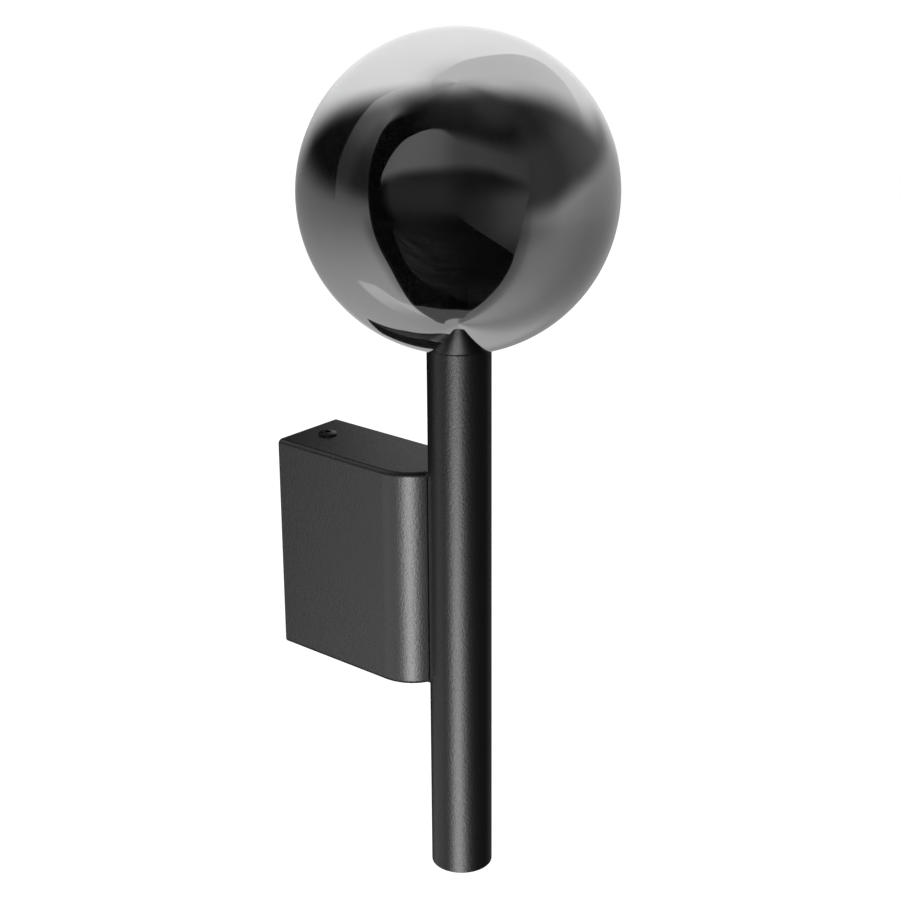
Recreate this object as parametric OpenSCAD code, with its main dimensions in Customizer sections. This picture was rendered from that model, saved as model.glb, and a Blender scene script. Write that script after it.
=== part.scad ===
// Globe wall sconce: a narrow box on the wall carries a vertical tube, and a smoked glass globe
// stands on the tube's open top.
// X is across the wall, -Y points into the room and +Z is up. The wall is the plane y = 0, and the
// origin is the centre of the bracket's wall face, level with the middle of the box.

/* [Wall box] */
// Width of the box
box_w = 35.5; // [34:0.5:44]
// Height of the box
box_h = 91.5; // [88:0.5:130]
// Thickness of the box's walls
box_wall = 1.5; // [1:0.1:2.5]
// Radius on the long edges at the top and the bottom
box_edge_r = 2; // [1.6:0.1:4]
// How far the half-round nose would reach into the stem if it weren't hollowed
nose_bite = 4.5; // [3.5:0.5:7]
// Gap between the wall and the rear rim of the box
box_wall_gap = 0.3; // [0.1:0.1:1]

/* [Stem] */
// Outside diameter of the stem
stem_d = 25; // [24:0.5:30]
// Thickness of the stem's wall
stem_wall = 2; // [1.8:0.1:2.5]
// Length of the stem
stem_l = 224; // [200:1:400]
// Distance from the wall to the stem's axis
stem_reach = 83.5; // [80:0.5:110]
// Height of the stem's rim above the top of the box
stem_rise = 51.5; // [48:0.5:110]
// Rounding of the stem's cut ends
stem_end_r = 0.4; // [0.2:0.1:0.8]
// Depth of the threaded mouth at the top of the stem
mouth_depth = 12; // [11.5:0.5:13.5]
// Depth of the threaded mouth's cut into the stem's wall
mouth_cut = 0.5; // [0.3:0.1:0.8]
// Thickness of the plug in the stem's lower end
end_plug_t = 4; // [2:0.5:12]

/* [Globe] */
// Outside diameter of the glass globe
globe_d = 121; // [100:1:150]
// Thickness of the glass
glass_t = 1.8; // [1.2:0.1:2.5]
// Outside diameter of the globe's neck
neck_d = 19; // [18.5:0.1:19.4]
// Thickness of the neck's glass
neck_t = 1.5; // [1.2:0.1:1.6]
// Depth of the neck's lower end below the stem's rim
neck_depth = 11; // [9:0.5:11.5]
// Height of the glass above the stem's rim
globe_gap = 0.3; // [0.2:0.1:0.6]
// Height of the threaded part of the collar
collar_h = 9.1; // [6:0.1:9.1]

/* [Lampholder and bulb] */
// Diameter of the lampholder
holder_d = 18; // [17.8:0.1:19]
// Height of the lampholder
holder_h = 15; // [14.5:0.5:20]
// Depth of the lampholder's top below the stem's rim
holder_depth = 14; // [13.8:0.2:20]
// Distance between the two contact pins
pin_pitch = 9; // [9:1:9]
// Length of the contact pins
pin_l = 7.5; // [6:0.5:8]
// Diameter of the bulb's envelope
bulb_d = 14; // [13:0.5:14.5]
// Height of the bulb's envelope
bulb_h = 38; // [30:1:44]
// Height of the bulb's base
bulb_base_h = 12; // [9:0.5:14]
// Height of the carrier plug under the lampholder
carrier_h = 8; // [6:0.5:12]

/* [Wall bracket] */
// Thickness of the bracket's sheet
bracket_t = 1.5; // [1:0.1:2.5]
// Depth of the bracket's two flanges
flange_depth = 18; // [16:0.5:24]
// Distance between the two slots for wall screws
slot_pitch = 64; // [62:1:66]
// Width of the slots
slot_w = 4.5; // [4:0.1:5.5]
// Length of the slots
slot_l = 8; // [6:0.5:9]
// Diameter of the hole for the supply cable
entry_d = 13; // [10:0.5:14]
// Depth of that hole's centre below the middle of the box
entry_drop = 9.5; // [9:0.5:11]
// Distance from the wall to the cover screws
cover_screw_y = 11.5; // [9:0.5:13]

/* [Wiring] */
// Outside diameter of a wire
wire_d = 2.2; // [1.8:0.1:2.4]
// Distance between the poles of the terminal block
pole_pitch = 9; // [8.5:0.5:10]
// Height of the terminal block
terminal_h = 16; // [15:0.5:18]
// Depth of the terminal block
terminal_depth = 13; // [12.5:0.5:15]
// Height of the terminal block's centre above the middle of the box
terminal_z = 11.5; // [11.5:0.5:13]
// Distance between the two screws that hold the stem
stem_screw_pitch = 44; // [40:1:50]

/* [Hidden] */
$fn = 96;

// Overrun of every cut
over = 1;
// Radial clearance of a fit, and the gap left between pieces that touch
fit = 0.05;
// Clearance of a sliding or drop-in piece
slip = 0.2;

// Metric fasteners: thread, clearance hole, button head and its hexagon socket
m4_d = 4;
m4_hole = 4.5;
m4_head_d = 7.6;
m4_head_h = 2.2;
m4_socket = 2.5;
m3_d = 3;
m25_d = 2.5;
m25_hole = 2.8;
m25_head_d = 4.6;
m25_head_h = 1.6;
m25_socket = 1.5;
// Shares of a button head's height taken by its straight rim and its socket
head_rim_share = 0.25;
head_socket_share = 0.6;

// Places that follow from the driving sizes
rim_z = box_h / 2 + stem_rise;
stem_bottom_z = rim_z - stem_l;
stem_r = stem_d / 2;
bore_r = stem_r - stem_wall;
mouth_r = bore_r + mouth_cut;
box_depth = stem_reach - stem_r + nose_bite;
nose_y = box_depth - box_w / 2;
cradle_r = stem_r + fit;
cradle_in_r = cradle_r + box_wall;

// Wall bracket
bracket_side_gap = 0.5;
bracket_w = box_w - 2 * box_wall - 2 * bracket_side_gap;
bracket_h = box_h - 2 * box_wall - 2 * slip;
bend_r = 2.5;
flange_corner_r = 3;
thread_boss_d = 7;
thread_boss_h = 2;
cover_screw_l = 8;

// Cable entry below the terminal block
grommet_flange_w = 2.2;
grommet_flange_t = 1.5;
grommet_wall = 2.4;
grommet_flange_r = entry_d / 2 + grommet_flange_w;
entry_z = -entry_drop;

// Terminal block and its brass barrels. The end walls take a share of the room beside the barrels
barrel_side = 5;
terminal_end_share = 0.47;
terminal_end_t = terminal_end_share * (bracket_w - 2 * pole_pitch - barrel_side) / 2;
terminal_w = 2 * pole_pitch + barrel_side + 2 * terminal_end_t;
barrel_l = terminal_h - slip;
barrel_bore = 3;
terminal_floor_t = 3;
barrel_y = terminal_floor_t + barrel_side / 2;
clamp_screw_d = m3_d;
clamp_screw_offset = barrel_l / 4;
clamp_slot_w = 0.6;
clamp_slot_depth = 0.8;
terminal_front_y = -bracket_t - terminal_depth;
terminal_axis_y = -bracket_t - barrel_y;
terminal_screw_l = 10;
terminal_screw_sink = terminal_depth / 3;

// Earth screw on the bracket and the ring lugs. The lug's tail ends below the grommet's flange, as
// far down as the flange reaches beside it
lug_r = 4;
lug_t = 0.8;
lug_tail_d = 3.6;
lug_tail_l = 5;
earth_edge = 4.75;
earth_gap = 0.7;
earth_x = bracket_w / 2 - earth_edge;
flange_clear_r = grommet_flange_r + slip;
flange_reach = sqrt(max(0, pow(flange_clear_r, 2) - pow(earth_x - lug_tail_d / 2, 2)));
earth_z = entry_z - flange_reach - earth_gap - lug_r - lug_t - lug_tail_l;

// Stem fixing
bar_t = 6.5;
bar_half_l = stem_screw_pitch / 2 + 2 * m4_d;
bar_flat_y = bore_r - bar_t;
saddle_r = 4.5;
saddle_t = 2;
saddle_top = cradle_in_r + saddle_t;
stem_lug_y = saddle_top + 2 * fit;
stem_screw_l = 12;
wire_hole_r = 4.5;
bushing_wall = 1.5;
bushing_flange_r = 6;
bushing_flange_t = 1.2;

// Lampholder, its contacts and the bulb
holder_z = rim_z - holder_depth;
carrier_top_z = holder_z - holder_h;
holder_chamfer = 0.6;
seat_depth = 2;
base_w = bulb_d + slip;
base_t = 7.4;
contact_w = 3.6;
contact_t = 0.4;
contact_pocket_w = contact_w + 4 * slip;
contact_pocket_t = 2.6;
contact_pocket_depth = 11.5;
contact_web_t = 0.5;
contact_drop = 1;
contact_l = contact_pocket_depth - seat_depth - contact_drop;
pin_wire_d = 1;
pin_loop_w = 2.6;
holder_screw_y = 6.4;
holder_screw_sink = 3;
holder_screw_l = 16;
carrier_slot_w = 6;
envelope_t = 0.8;
board_w = 10;
board_t = 1;
board_gap = 1;
board_h = bulb_h - bulb_d / 2 - board_gap;
chip_w = 2.8;
chip_h = 3.5;
chip_t = 0.7;
chip_count = 6;
shoulder_share = 0.2;
bulb_floor_z = holder_z - seat_depth + fit;
envelope_z = bulb_floor_z + bulb_base_h;

// Globe and its fixing
globe_r = globe_d / 2;
globe_z = rim_z + sqrt(globe_r * globe_r - stem_r * stem_r) + globe_gap;
neck_r = neck_d / 2;
neck_in_r = neck_r - neck_t;
collar_floor_gap = 0.5;
collar_floor_z = rim_z - mouth_depth + collar_floor_gap;
collar_top_z = collar_floor_z + collar_h;
seal_drop = 0.4;
seal_top_z = rim_z - seal_drop;
collar_chamfer = 0.4;

// Wires: depth of an end in its barrel, corner rounding, and the places of their runs
wire_insert = 6;
wire_sides = 8;
bend_reach = 6;
wide_bend_reach = 12;
bend_steps = 4;
wire_rise = 6.5;
// Shares of the room over the stem's lug taken by the earth wire's turn and by its rounding
earth_turn_share = 0.72;
earth_bend_share = 0.48;
wire_x = wire_d / 2 + 2 * fit;
wire_run_z = terminal_z + terminal_h / 2 + wire_rise;
wire_drop_back = 7;
wire_drop_y = -nose_y + wire_drop_back;
wire_lift_offset = 1;
wire_lift_y = -stem_reach - wire_lift_offset;
wire_spread = 3;
wire_spread_z = carrier_top_z - carrier_h - wire_spread;
sleeve_r = 3.3;
sleeve_in_r = 2.75;
sleeve_low_z = 2 * bend_reach;
sleeve_top_z = wire_spread_z - wire_d;

// Unit vector along v
function unit(v) = v / norm(v);

// Points that round the corner b between a and c, starting and ending reach away from it
function corner_points(a, b, c, reach) =
    let (start = b + reach * unit(a - b), stop = b + reach * unit(c - b))
    [for (i = [0:bend_steps]) let (t = i / bend_steps)
        (1 - t) * (1 - t) * start + 2 * t * (1 - t) * b + t * t * stop];

// Centre line through corners, each rounded with its own reach
function wire_path(corners, reaches) = [
    corners[0],
    for (i = [1:len(corners) - 2])
        each corner_points(corners[i - 1], corners[i], corners[i + 1], reaches[i - 1]),
    corners[len(corners) - 1],
];

// Tangent of a path at point i
function tangent(path, i) =
    unit(path[min(i + 1, len(path) - 1)] - path[max(i - 1, 0)]);

// Ring of points round point i of a path
function wire_ring(path, i) =
    let (t = tangent(path, i), side = unit(cross(t, [1, 0, 0])), lift = cross(side, t))
    [for (k = [0:wire_sides - 1]) let (a = 360 * k / wire_sides)
        path[i] + wire_d / 2 * (cos(a) * lift + sin(a) * side)];

// Round wire along a path
module wire(path) {
    rings = len(path);
    points = [for (i = [0:rings - 1]) each wire_ring(path, i)];
    sides = [for (i = [0:rings - 2], k = [0:wire_sides - 1])
        let (n = (k + 1) % wire_sides, a = i * wire_sides, b = a + wire_sides)
        each [[a + k, b + k, b + n], [a + k, b + n, a + n]]];
    low_end = [for (k = [0:wire_sides - 1]) k];
    high_end = [for (k = [0:wire_sides - 1]) rings * wire_sides - 1 - k];
    polyhedron(points, concat(sides, [low_end, high_end]));
}

// Rectangle w by h about the origin with corners of radius r
module round_rect(w, h, r) {
    square([w - 2 * r, h], center = true);
    square([w, h - 2 * r], center = true);
    for (x = [-1, 1], y = [-1, 1])
        translate([x * (w / 2 - r), y * (h / 2 - r)]) circle(r);
}

// Obround slot of total length l and width w, along Y
module obround(l, w) {
    square([w, l - w], center = true);
    for (y = [-1, 1]) translate([0, y * (l - w) / 2]) circle(w / 2);
}

// Button-head screw with its head on the plane z = 0, pointing down -Z
module button_screw(d, head_d, head_h, length, socket) {
    rim = head_rim_share * head_h;
    dome = head_h - rim;
    dome_r = (dome * dome + head_d * head_d / 4) / (2 * dome);
    difference() {
        union() {
            translate([0, 0, -length]) cylinder(r = d / 2 - fit, h = length);
            intersection() {
                cylinder(d = head_d, h = head_h);
                translate([0, 0, head_h - dome_r]) sphere(dome_r);
            }
        }
        translate([0, 0, head_h * (1 - head_socket_share)])
            rotate([0, 0, 30]) cylinder(d = socket / cos(30), h = head_h, $fn = 6);
    }
}

module m4_screw(length) {
    button_screw(m4_d, m4_head_d, m4_head_h, length, m4_socket);
}

module m25_screw(length) {
    button_screw(m25_d, m25_head_d, m25_head_h, length, m25_socket);
}

// Places children on the stem's axis at height z
module on_stem(z) {
    translate([0, -stem_reach, z]) children();
}

// Turns children so that their +Z points into the room
module face_room() {
    rotate([90, 0, 0]) children();
}

// Turns children so that their +Z points to the wall
module face_wall() {
    rotate([-90, 0, 0]) children();
}

// Folded sheet-steel bracket on the wall
module wall_bracket() {
    color("silver") difference() {
        union() {
            bracket_channel();
            for (s = [-1, 1]) translate([0, -cover_screw_y, s * bracket_h / 2])
                mirror([0, 0, s > 0 ? 1 : 0]) cylinder(d = thread_boss_d, h = bracket_t + thread_boss_h);
        }
        for (s = [-1, 1]) {
            translate([0, -cover_screw_y, s * bracket_h / 2])
                mirror([0, 0, s > 0 ? 1 : 0]) translate([0, 0, -over])
                cylinder(d = m4_d, h = bracket_t + thread_boss_h + 2 * over);
            translate([0, over, s * slot_pitch / 2]) face_room()
                linear_extrude(bracket_t + 2 * over) obround(slot_l, slot_w);
        }
        translate([0, over, entry_z]) face_room() cylinder(d = entry_d, h = bracket_t + 2 * over);
        translate([earth_x, over, earth_z]) face_room()
            cylinder(d = m4_d, h = bracket_t + 2 * over);
        translate([-pole_pitch / 2, over, terminal_z]) face_room()
            cylinder(d = m25_d, h = bracket_t + 2 * over);
    }
}

// Side view of the bracket's fold, extruded across the wall and cut to the flanges' round corners
module bracket_channel() {
    intersection() {
        translate([-bracket_w / 2, 0, 0]) rotate([90, 0, 90]) linear_extrude(bracket_w)
            bracket_section();
        linear_extrude(bracket_h, center = true) bracket_plan();
    }
}

module bracket_section() {
    inner_h = bracket_h - 2 * bracket_t;
    difference() {
        translate([-flange_depth, 0]) union() {
            translate([0, -bracket_h / 2]) square([flange_depth - bend_r, bracket_h]);
            translate([0, -bracket_h / 2 + bend_r]) square([flange_depth, bracket_h - 2 * bend_r]);
            for (s = [-1, 1]) translate([flange_depth - bend_r, s * (bracket_h / 2 - bend_r)])
                circle(bend_r);
        }
        translate([-flange_depth - over, -inner_h / 2])
            square([flange_depth + over - bracket_t, inner_h]);
    }
}

module bracket_plan() {
    translate([-bracket_w / 2, -flange_depth + flange_corner_r])
        square([bracket_w, flange_depth - flange_corner_r]);
    translate([-bracket_w / 2 + flange_corner_r, -flange_depth])
        square([bracket_w - 2 * flange_corner_r, flange_depth]);
    for (s = [-1, 1])
        translate([s * (bracket_w / 2 - flange_corner_r), -flange_depth + flange_corner_r])
            circle(flange_corner_r);
}

// Grommet pressed into the cable hole from the front
module entry_grommet() {
    color("dimgray") translate([0, -slip, entry_z]) face_room() difference() {
        union() {
            cylinder(r = entry_d / 2 - fit, h = bracket_t - slip + fit);
            translate([0, 0, bracket_t - slip + fit])
                cylinder(r = grommet_flange_r, h = grommet_flange_t);
        }
        translate([0, 0, -over])
            cylinder(r = entry_d / 2 - grommet_wall, h = bracket_t + grommet_flange_t + 2 * over);
    }
}

// Places children at each pole of the terminal block, on its axis
module at_poles() {
    for (i = [-1:1]) translate([i * pole_pitch, terminal_axis_y, terminal_z]) children();
}

// Housing of the three-pole terminal block
module terminal_block() {
    color("ivory") difference() {
        translate([-terminal_w / 2, terminal_front_y, terminal_z - terminal_h / 2])
            cube([terminal_w, terminal_depth - fit, terminal_h]);
        at_poles() {
            cube([barrel_side + 2 * fit, barrel_side + 2 * fit, barrel_l + fit], center = true);
            translate([0, 0, -terminal_h / 2 - over]) cylinder(d = barrel_bore, h = terminal_h + 2 * over);
            for (s = [-1, 1]) translate([0, 0, s * clamp_screw_offset])
                face_room() cylinder(r = clamp_screw_d / 2 + slip, h = terminal_depth);
        }
        translate([-pole_pitch / 2, 0, terminal_z]) face_room()
            cylinder(d = m25_hole, h = terminal_depth + 2 * over);
        translate([-pole_pitch / 2, terminal_front_y + terminal_screw_sink, terminal_z])
            face_room() cylinder(r = m25_head_d / 2 + slip, h = terminal_screw_sink + over);
    }
}

// Brass barrels that hold the wires' ends
module terminal_barrels() {
    color("gold") at_poles() difference() {
        cube([barrel_side, barrel_side, barrel_l], center = true);
        cylinder(d = barrel_bore, h = barrel_l + 2 * over, center = true);
        for (s = [-1, 1]) translate([0, 0, s * clamp_screw_offset])
            face_room() cylinder(d = clamp_screw_d, h = barrel_side);
    }
}

// Slotted screws that clamp the wires in the barrels
module terminal_clamp_screws() {
    length = terminal_depth - barrel_y - wire_d / 2 - 2 * slip;
    color("silver") at_poles() for (s = [-1, 1])
        translate([0, -wire_d / 2 - fit, s * clamp_screw_offset]) face_room() difference() {
            cylinder(r = clamp_screw_d / 2 - fit, h = length);
            translate([-clamp_screw_d, -clamp_slot_w / 2, length - clamp_slot_depth])
                cube([2 * clamp_screw_d, clamp_slot_w, clamp_slot_depth + over]);
        }
}

// Screw that holds the terminal block on the bracket
module terminal_fixing_screw() {
    color("silver")
        translate([-pole_pitch / 2, terminal_front_y + terminal_screw_sink - fit, terminal_z])
        face_room() m25_screw(terminal_screw_l);
}

// Earth screw in the bracket
module bracket_earth_screw() {
    color("gold") translate([earth_x, -bracket_t - lug_t - 2 * fit, earth_z])
        face_room() m4_screw(lug_t + bracket_t);
}

// Ring lug round the origin, flat on the plane z = 0, with its crimped tail along +Y
module ring_lug() {
    difference() {
        union() {
            cylinder(r = lug_r, h = lug_t);
            translate([-lug_tail_d / 2, 0, 0]) cube([lug_tail_d, lug_r + lug_t, lug_t]);
            translate([0, lug_r, lug_tail_d / 2]) face_wall()
                cylinder(d = lug_tail_d, h = lug_tail_l);
        }
        translate([0, 0, -over]) cylinder(d = m4_d + slip, h = lug_t + 2 * over);
        translate([0, lug_r + lug_t, lug_tail_d / 2]) face_wall()
            cylinder(r = wire_d / 2 + fit, h = lug_tail_l + over);
    }
}

// Lugs of the two earth wires, on the bracket and under the upper stem screw
module earth_lugs() {
    color("silver") {
        translate([earth_x, -bracket_t - fit, earth_z]) face_room() ring_lug();
        on_stem(stem_screw_pitch / 2) translate([0, stem_lug_y, 0])
            rotate([-90, 180, 0]) ring_lug();
    }
}

// Outline of the box in plan, drawn in by t on all its walls
module box_plan(t) {
    translate([-box_w / 2 + t, -nose_y]) square([box_w - 2 * t, nose_y + over]);
    intersection() {
        translate([0, -nose_y]) circle(box_w / 2 - t);
        translate([-box_w / 2, -nose_y - box_w]) square([box_w, box_w]);
    }
}

// Shell of the box: straight sides, half-round nose and a cradle that holds the stem
module wall_box() {
    color("#3a3b3d") difference() {
        union() {
            translate([0, -box_wall_gap, 0]) face_room()
                linear_extrude(nose_y - box_wall_gap) round_rect(box_w, box_h, box_edge_r);
            translate([0, -nose_y, 0]) rotate([0, 0, 180]) rotate_extrude(angle = 180)
                intersection() {
                    round_rect(box_w, box_h, box_edge_r);
                    translate([0, -box_h / 2]) square([box_w, box_h]);
                }
        }
        on_stem(0) cylinder(r = cradle_r, h = box_h + 2 * over, center = true);
        difference() {
            linear_extrude(box_h - 2 * box_wall, center = true) box_plan(box_wall);
            on_stem(0) cylinder(r = cradle_in_r, h = box_h, center = true);
        }
        translate([0, -cover_screw_y, 0])
            cylinder(d = m4_hole, h = box_h + 2 * over, center = true);
        stem_screw_holes(m4_hole);
        on_stem(0) face_wall() cylinder(r = wire_hole_r + fit, h = 2 * stem_r);
    }
}

// Cutters for the stem screws, from the stem's axis towards the wall
module stem_screw_holes(d) {
    for (s = [-1, 1]) on_stem(s * stem_screw_pitch / 2) face_wall() cylinder(d = d, h = 2 * stem_r);
}

// Screws that hold the box on the bracket, above and below
module cover_screws() {
    color("#26272a") for (s = [-1, 1])
        translate([0, -cover_screw_y, s * (box_h / 2 + fit)]) mirror([0, 0, s > 0 ? 0 : 1])
            m4_screw(cover_screw_l);
}

// Vertical tube with a threaded mouth and holes towards the box
module stem_tube() {
    color("#35363a") difference() {
        on_stem(stem_bottom_z) rotate_extrude() stem_section();
        stem_screw_holes(m4_hole);
        on_stem(0) face_wall() cylinder(r = wire_hole_r + fit, h = 2 * stem_r);
    }
}

// Half section of the tube's wall with its ends rounded outside
module stem_section() {
    difference() {
        union() {
            translate([bore_r, 0]) square([stem_wall - stem_end_r, stem_l]);
            translate([bore_r, stem_end_r]) square([stem_wall, stem_l - 2 * stem_end_r]);
            for (z = [stem_end_r, stem_l - stem_end_r]) translate([stem_r - stem_end_r, z])
                circle(stem_end_r);
        }
        translate([0, stem_l - mouth_depth]) square([mouth_r, mouth_depth + over]);
    }
}

// Plug that closes the stem's lower end
module stem_end_plug() {
    color("#2b2c2e") on_stem(stem_bottom_z + stem_end_r) cylinder(r = bore_r - fit, h = end_plug_t);
}

// Threaded bar inside the stem, against its rear wall
module anchor_bar() {
    color("silver") difference() {
        on_stem(-bar_half_l) intersection() {
            cylinder(r = bore_r - fit, h = 2 * bar_half_l);
            translate([-bore_r, bar_flat_y, -over]) cube([2 * bore_r, bore_r, 2 * bar_half_l + 2 * over]);
        }
        stem_screw_holes(m4_d);
        on_stem(0) face_wall() cylinder(r = wire_hole_r + fit, h = 2 * stem_r);
    }
}

// Screws from inside the box into the anchor bar. The upper one also holds a lug
module stem_screws() {
    color("silver") for (s = [-1, 1]) on_stem(s * stem_screw_pitch / 2)
        translate([0, stem_lug_y + (s > 0 ? lug_t + fit : 0), 0])
            face_wall() m4_screw(stem_screw_l);
}

// Washers hollowed to sit on the cradle's round wall
module saddle_washers() {
    color("silver") difference() {
        for (s = [-1, 1]) on_stem(s * stem_screw_pitch / 2) translate([0, cradle_r, 0])
            face_wall() cylinder(r = saddle_r, h = saddle_top + fit - cradle_r);
        on_stem(0) cylinder(r = cradle_in_r + fit, h = box_h, center = true);
        stem_screw_holes(m4_hole);
    }
}

// Bushing that lines the wire hole through the cradle, the stem and the bar
module wire_bushing() {
    tip = (bar_flat_y + bore_r) / 2;
    color("dimgray") difference() {
        union() {
            on_stem(0) translate([0, tip, 0]) face_wall() cylinder(r = wire_hole_r, h = cradle_in_r - tip);
            difference() {
                on_stem(0) translate([0, cradle_r, 0]) face_wall()
                    cylinder(r = bushing_flange_r, h = cradle_in_r + bushing_flange_t - cradle_r);
                on_stem(0) cylinder(r = cradle_in_r + fit, h = box_h, center = true);
            }
        }
        on_stem(0) translate([0, tip - over, 0]) face_wall()
            cylinder(r = wire_hole_r - bushing_wall, h = stem_d);
    }
}

// Turned plug that carries the lampholder inside the stem
module socket_carrier() {
    color("silver") on_stem(carrier_top_z - carrier_h) difference() {
        cylinder(r = bore_r - fit, h = carrier_h - fit);
        translate([0, 0, -over]) linear_extrude(carrier_h + 2 * over)
            rotate([0, 0, 90]) obround(pin_pitch + carrier_slot_w, carrier_slot_w);
        for (s = [-1, 1]) translate([0, s * holder_screw_y, -over])
            cylinder(d = m25_d, h = carrier_h + 2 * over);
    }
}

// Ceramic lampholder with a seat for the bulb's base and a pocket for each contact
module lampholder() {
    color("white") on_stem(holder_z) difference() {
        union() {
            translate([0, 0, -holder_h]) cylinder(d = holder_d, h = holder_h - holder_chamfer);
            translate([0, 0, -holder_chamfer])
                cylinder(d1 = holder_d, d2 = holder_d - 2 * holder_chamfer, h = holder_chamfer);
        }
        translate([0, 0, (over - seat_depth) / 2])
            cube([base_w + 2 * slip, base_t + 2 * slip, seat_depth + over], center = true);
        for (s = [-1, 1]) {
            translate([s * pin_pitch / 2, 0, -contact_pocket_depth / 2])
                cube([contact_pocket_w, contact_pocket_t, contact_pocket_depth], center = true);
            translate([s * pin_pitch / 2, 0, -holder_h - over])
                cylinder(r = wire_d / 2 + slip, h = holder_h);
            translate([0, s * holder_screw_y, -holder_h - over])
                cylinder(d = m25_hole, h = holder_h + 2 * over);
            translate([0, s * holder_screw_y, -holder_screw_sink])
                cylinder(r = m25_head_d / 2 + fit, h = holder_screw_sink + over);
        }
    }
}

// Folded spring clips that grip the pins
module lampholder_contacts() {
    color("gold") for (s = [-1, 1])
        on_stem(holder_z - contact_pocket_depth + fit) translate([s * pin_pitch / 2, 0, 0]) {
            gap = pin_wire_d / 2 + fit;
            translate([-contact_w / 2, -gap - contact_t, 0])
                cube([contact_w, 2 * (gap + contact_t), contact_web_t]);
            for (y = [-gap - contact_t, gap]) translate([-contact_w / 2, y, 0])
                cube([contact_w, contact_t, contact_l]);
        }
}

// Screws that hold the lampholder on its carrier
module lampholder_screws() {
    color("silver") for (s = [-1, 1]) on_stem(holder_z - holder_screw_sink + fit)
        translate([0, s * holder_screw_y, 0]) m25_screw(holder_screw_l);
}

// Route of the wire on side s of the stem, from the pole at pole_x up to its contact
function lamp_wire(s, pole_x) =
    let (top = terminal_z + terminal_h / 2, contact_x = s * pin_pitch / 2)
    wire_path([
        [pole_x, terminal_axis_y, top - wire_insert],
        [pole_x, terminal_axis_y, wire_run_z],
        [s * 2 * wire_x, wire_drop_y, wire_run_z],
        [s * wire_x, wire_drop_y, 0],
        [s * wire_x, wire_lift_y, 0],
        [s * wire_x, wire_lift_y, wire_spread_z],
        [contact_x, -stem_reach, carrier_top_z - wire_d],
        [contact_x, -stem_reach, carrier_top_z + holder_h - contact_pocket_depth - fit],
    ], [bend_reach, wide_bend_reach, wide_bend_reach, bend_reach, wire_d, wire_d]);

module live_wire() {
    color("saddlebrown") wire(lamp_wire(-1, -pole_pitch));
}

module neutral_wire() {
    color("royalblue") wire(lamp_wire(1, 0));
}

// Earth wires from the third pole to the stem's upper screw and to the bracket
module earth_wires() {
    top = terminal_z + terminal_h / 2;
    low = terminal_z - terminal_h / 2;
    stem_lug_z = stem_screw_pitch / 2 + lug_r + lug_t;
    room = box_h / 2 - box_wall - stem_lug_z - lug_tail_l;
    turn_z = stem_lug_z + lug_tail_l + earth_turn_share * room;
    bracket_lug_z = earth_z + lug_r + lug_t;
    lug_wire_y = stem_lug_y + lug_tail_d / 2 - stem_reach;
    bracket_lug_y = -bracket_t - fit - lug_tail_d / 2;
    color("olivedrab") {
        wire(wire_path([
            [pole_pitch, terminal_axis_y, top - wire_insert],
            [pole_pitch, terminal_axis_y, wire_run_z],
            [0, lug_wire_y, turn_z],
            [0, lug_wire_y, stem_lug_z + fit],
        ], [bend_reach, earth_bend_share * room]));
        wire(wire_path([
            [pole_pitch, terminal_axis_y, low + wire_insert],
            [pole_pitch, terminal_axis_y, low - bend_reach],
            [earth_x, bracket_lug_y, bracket_lug_z + lug_tail_l + wire_d],
            [earth_x, bracket_lug_y, bracket_lug_z + fit],
        ], [wire_d, wire_d]));
    }
}

// Heat-resisting sleeve on the two wires in the stem
module wire_sleeve() {
    length = sleeve_top_z - sleeve_low_z;
    color("wheat") translate([0, wire_lift_y, sleeve_low_z]) difference() {
        cylinder(r = sleeve_r, h = length);
        translate([0, 0, -over]) cylinder(r = sleeve_in_r, h = length + 2 * over);
    }
}

// Soft ring on the collar, inside the stem's mouth
module seal_ring() {
    color("black") on_stem(collar_top_z + fit) difference() {
        cylinder(r = mouth_r - 2 * fit, h = seal_top_z - collar_top_z - fit);
        translate([0, 0, -over]) cylinder(r = neck_r + 2 * fit, h = seal_top_z - collar_top_z + 2 * over);
    }
}

// Blown glass globe with a short neck
module globe() {
    color("gray", 0.6) difference() {
        union() {
            on_stem(globe_z) sphere(globe_r);
            on_stem(rim_z - neck_depth) cylinder(r = neck_r, h = neck_depth + glass_t);
        }
        on_stem(globe_z) sphere(globe_r - glass_t);
        on_stem(rim_z - neck_depth - over)
            cylinder(r = neck_in_r, h = neck_depth + globe_r);
    }
}

// Threaded metal collar bonded to the neck
module glass_collar() {
    collar_r = mouth_r - fit;
    color("dimgray") on_stem(collar_floor_z) difference() {
        union() {
            cylinder(r1 = collar_r - collar_chamfer, r2 = collar_r, h = collar_chamfer);
            translate([0, 0, collar_chamfer]) cylinder(r = collar_r, h = collar_h - collar_chamfer);
        }
        translate([0, 0, -over]) cylinder(r = neck_r + fit, h = collar_h + 2 * over);
    }
}

// Base of the bulb: a flat foot in the lampholder's seat under a round shoulder
module bulb_base() {
    shoulder = shoulder_share * bulb_base_h;
    color("white") on_stem(bulb_floor_z) difference() {
        union() {
            intersection() {
                cylinder(d = base_w, h = bulb_base_h - shoulder);
                translate([-base_w / 2, -base_t / 2, 0]) cube([base_w, base_t, bulb_base_h]);
            }
            translate([0, 0, bulb_base_h - shoulder]) cylinder(d = bulb_d, h = shoulder);
        }
        for (s = [-1, 1], x = [-1, 1])
            translate([s * pin_pitch / 2 + x * (pin_loop_w - pin_wire_d) / 2, 0, -over])
            cylinder(r = pin_wire_d / 2 + fit, h = 2 * over + fit);
    }
}

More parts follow.
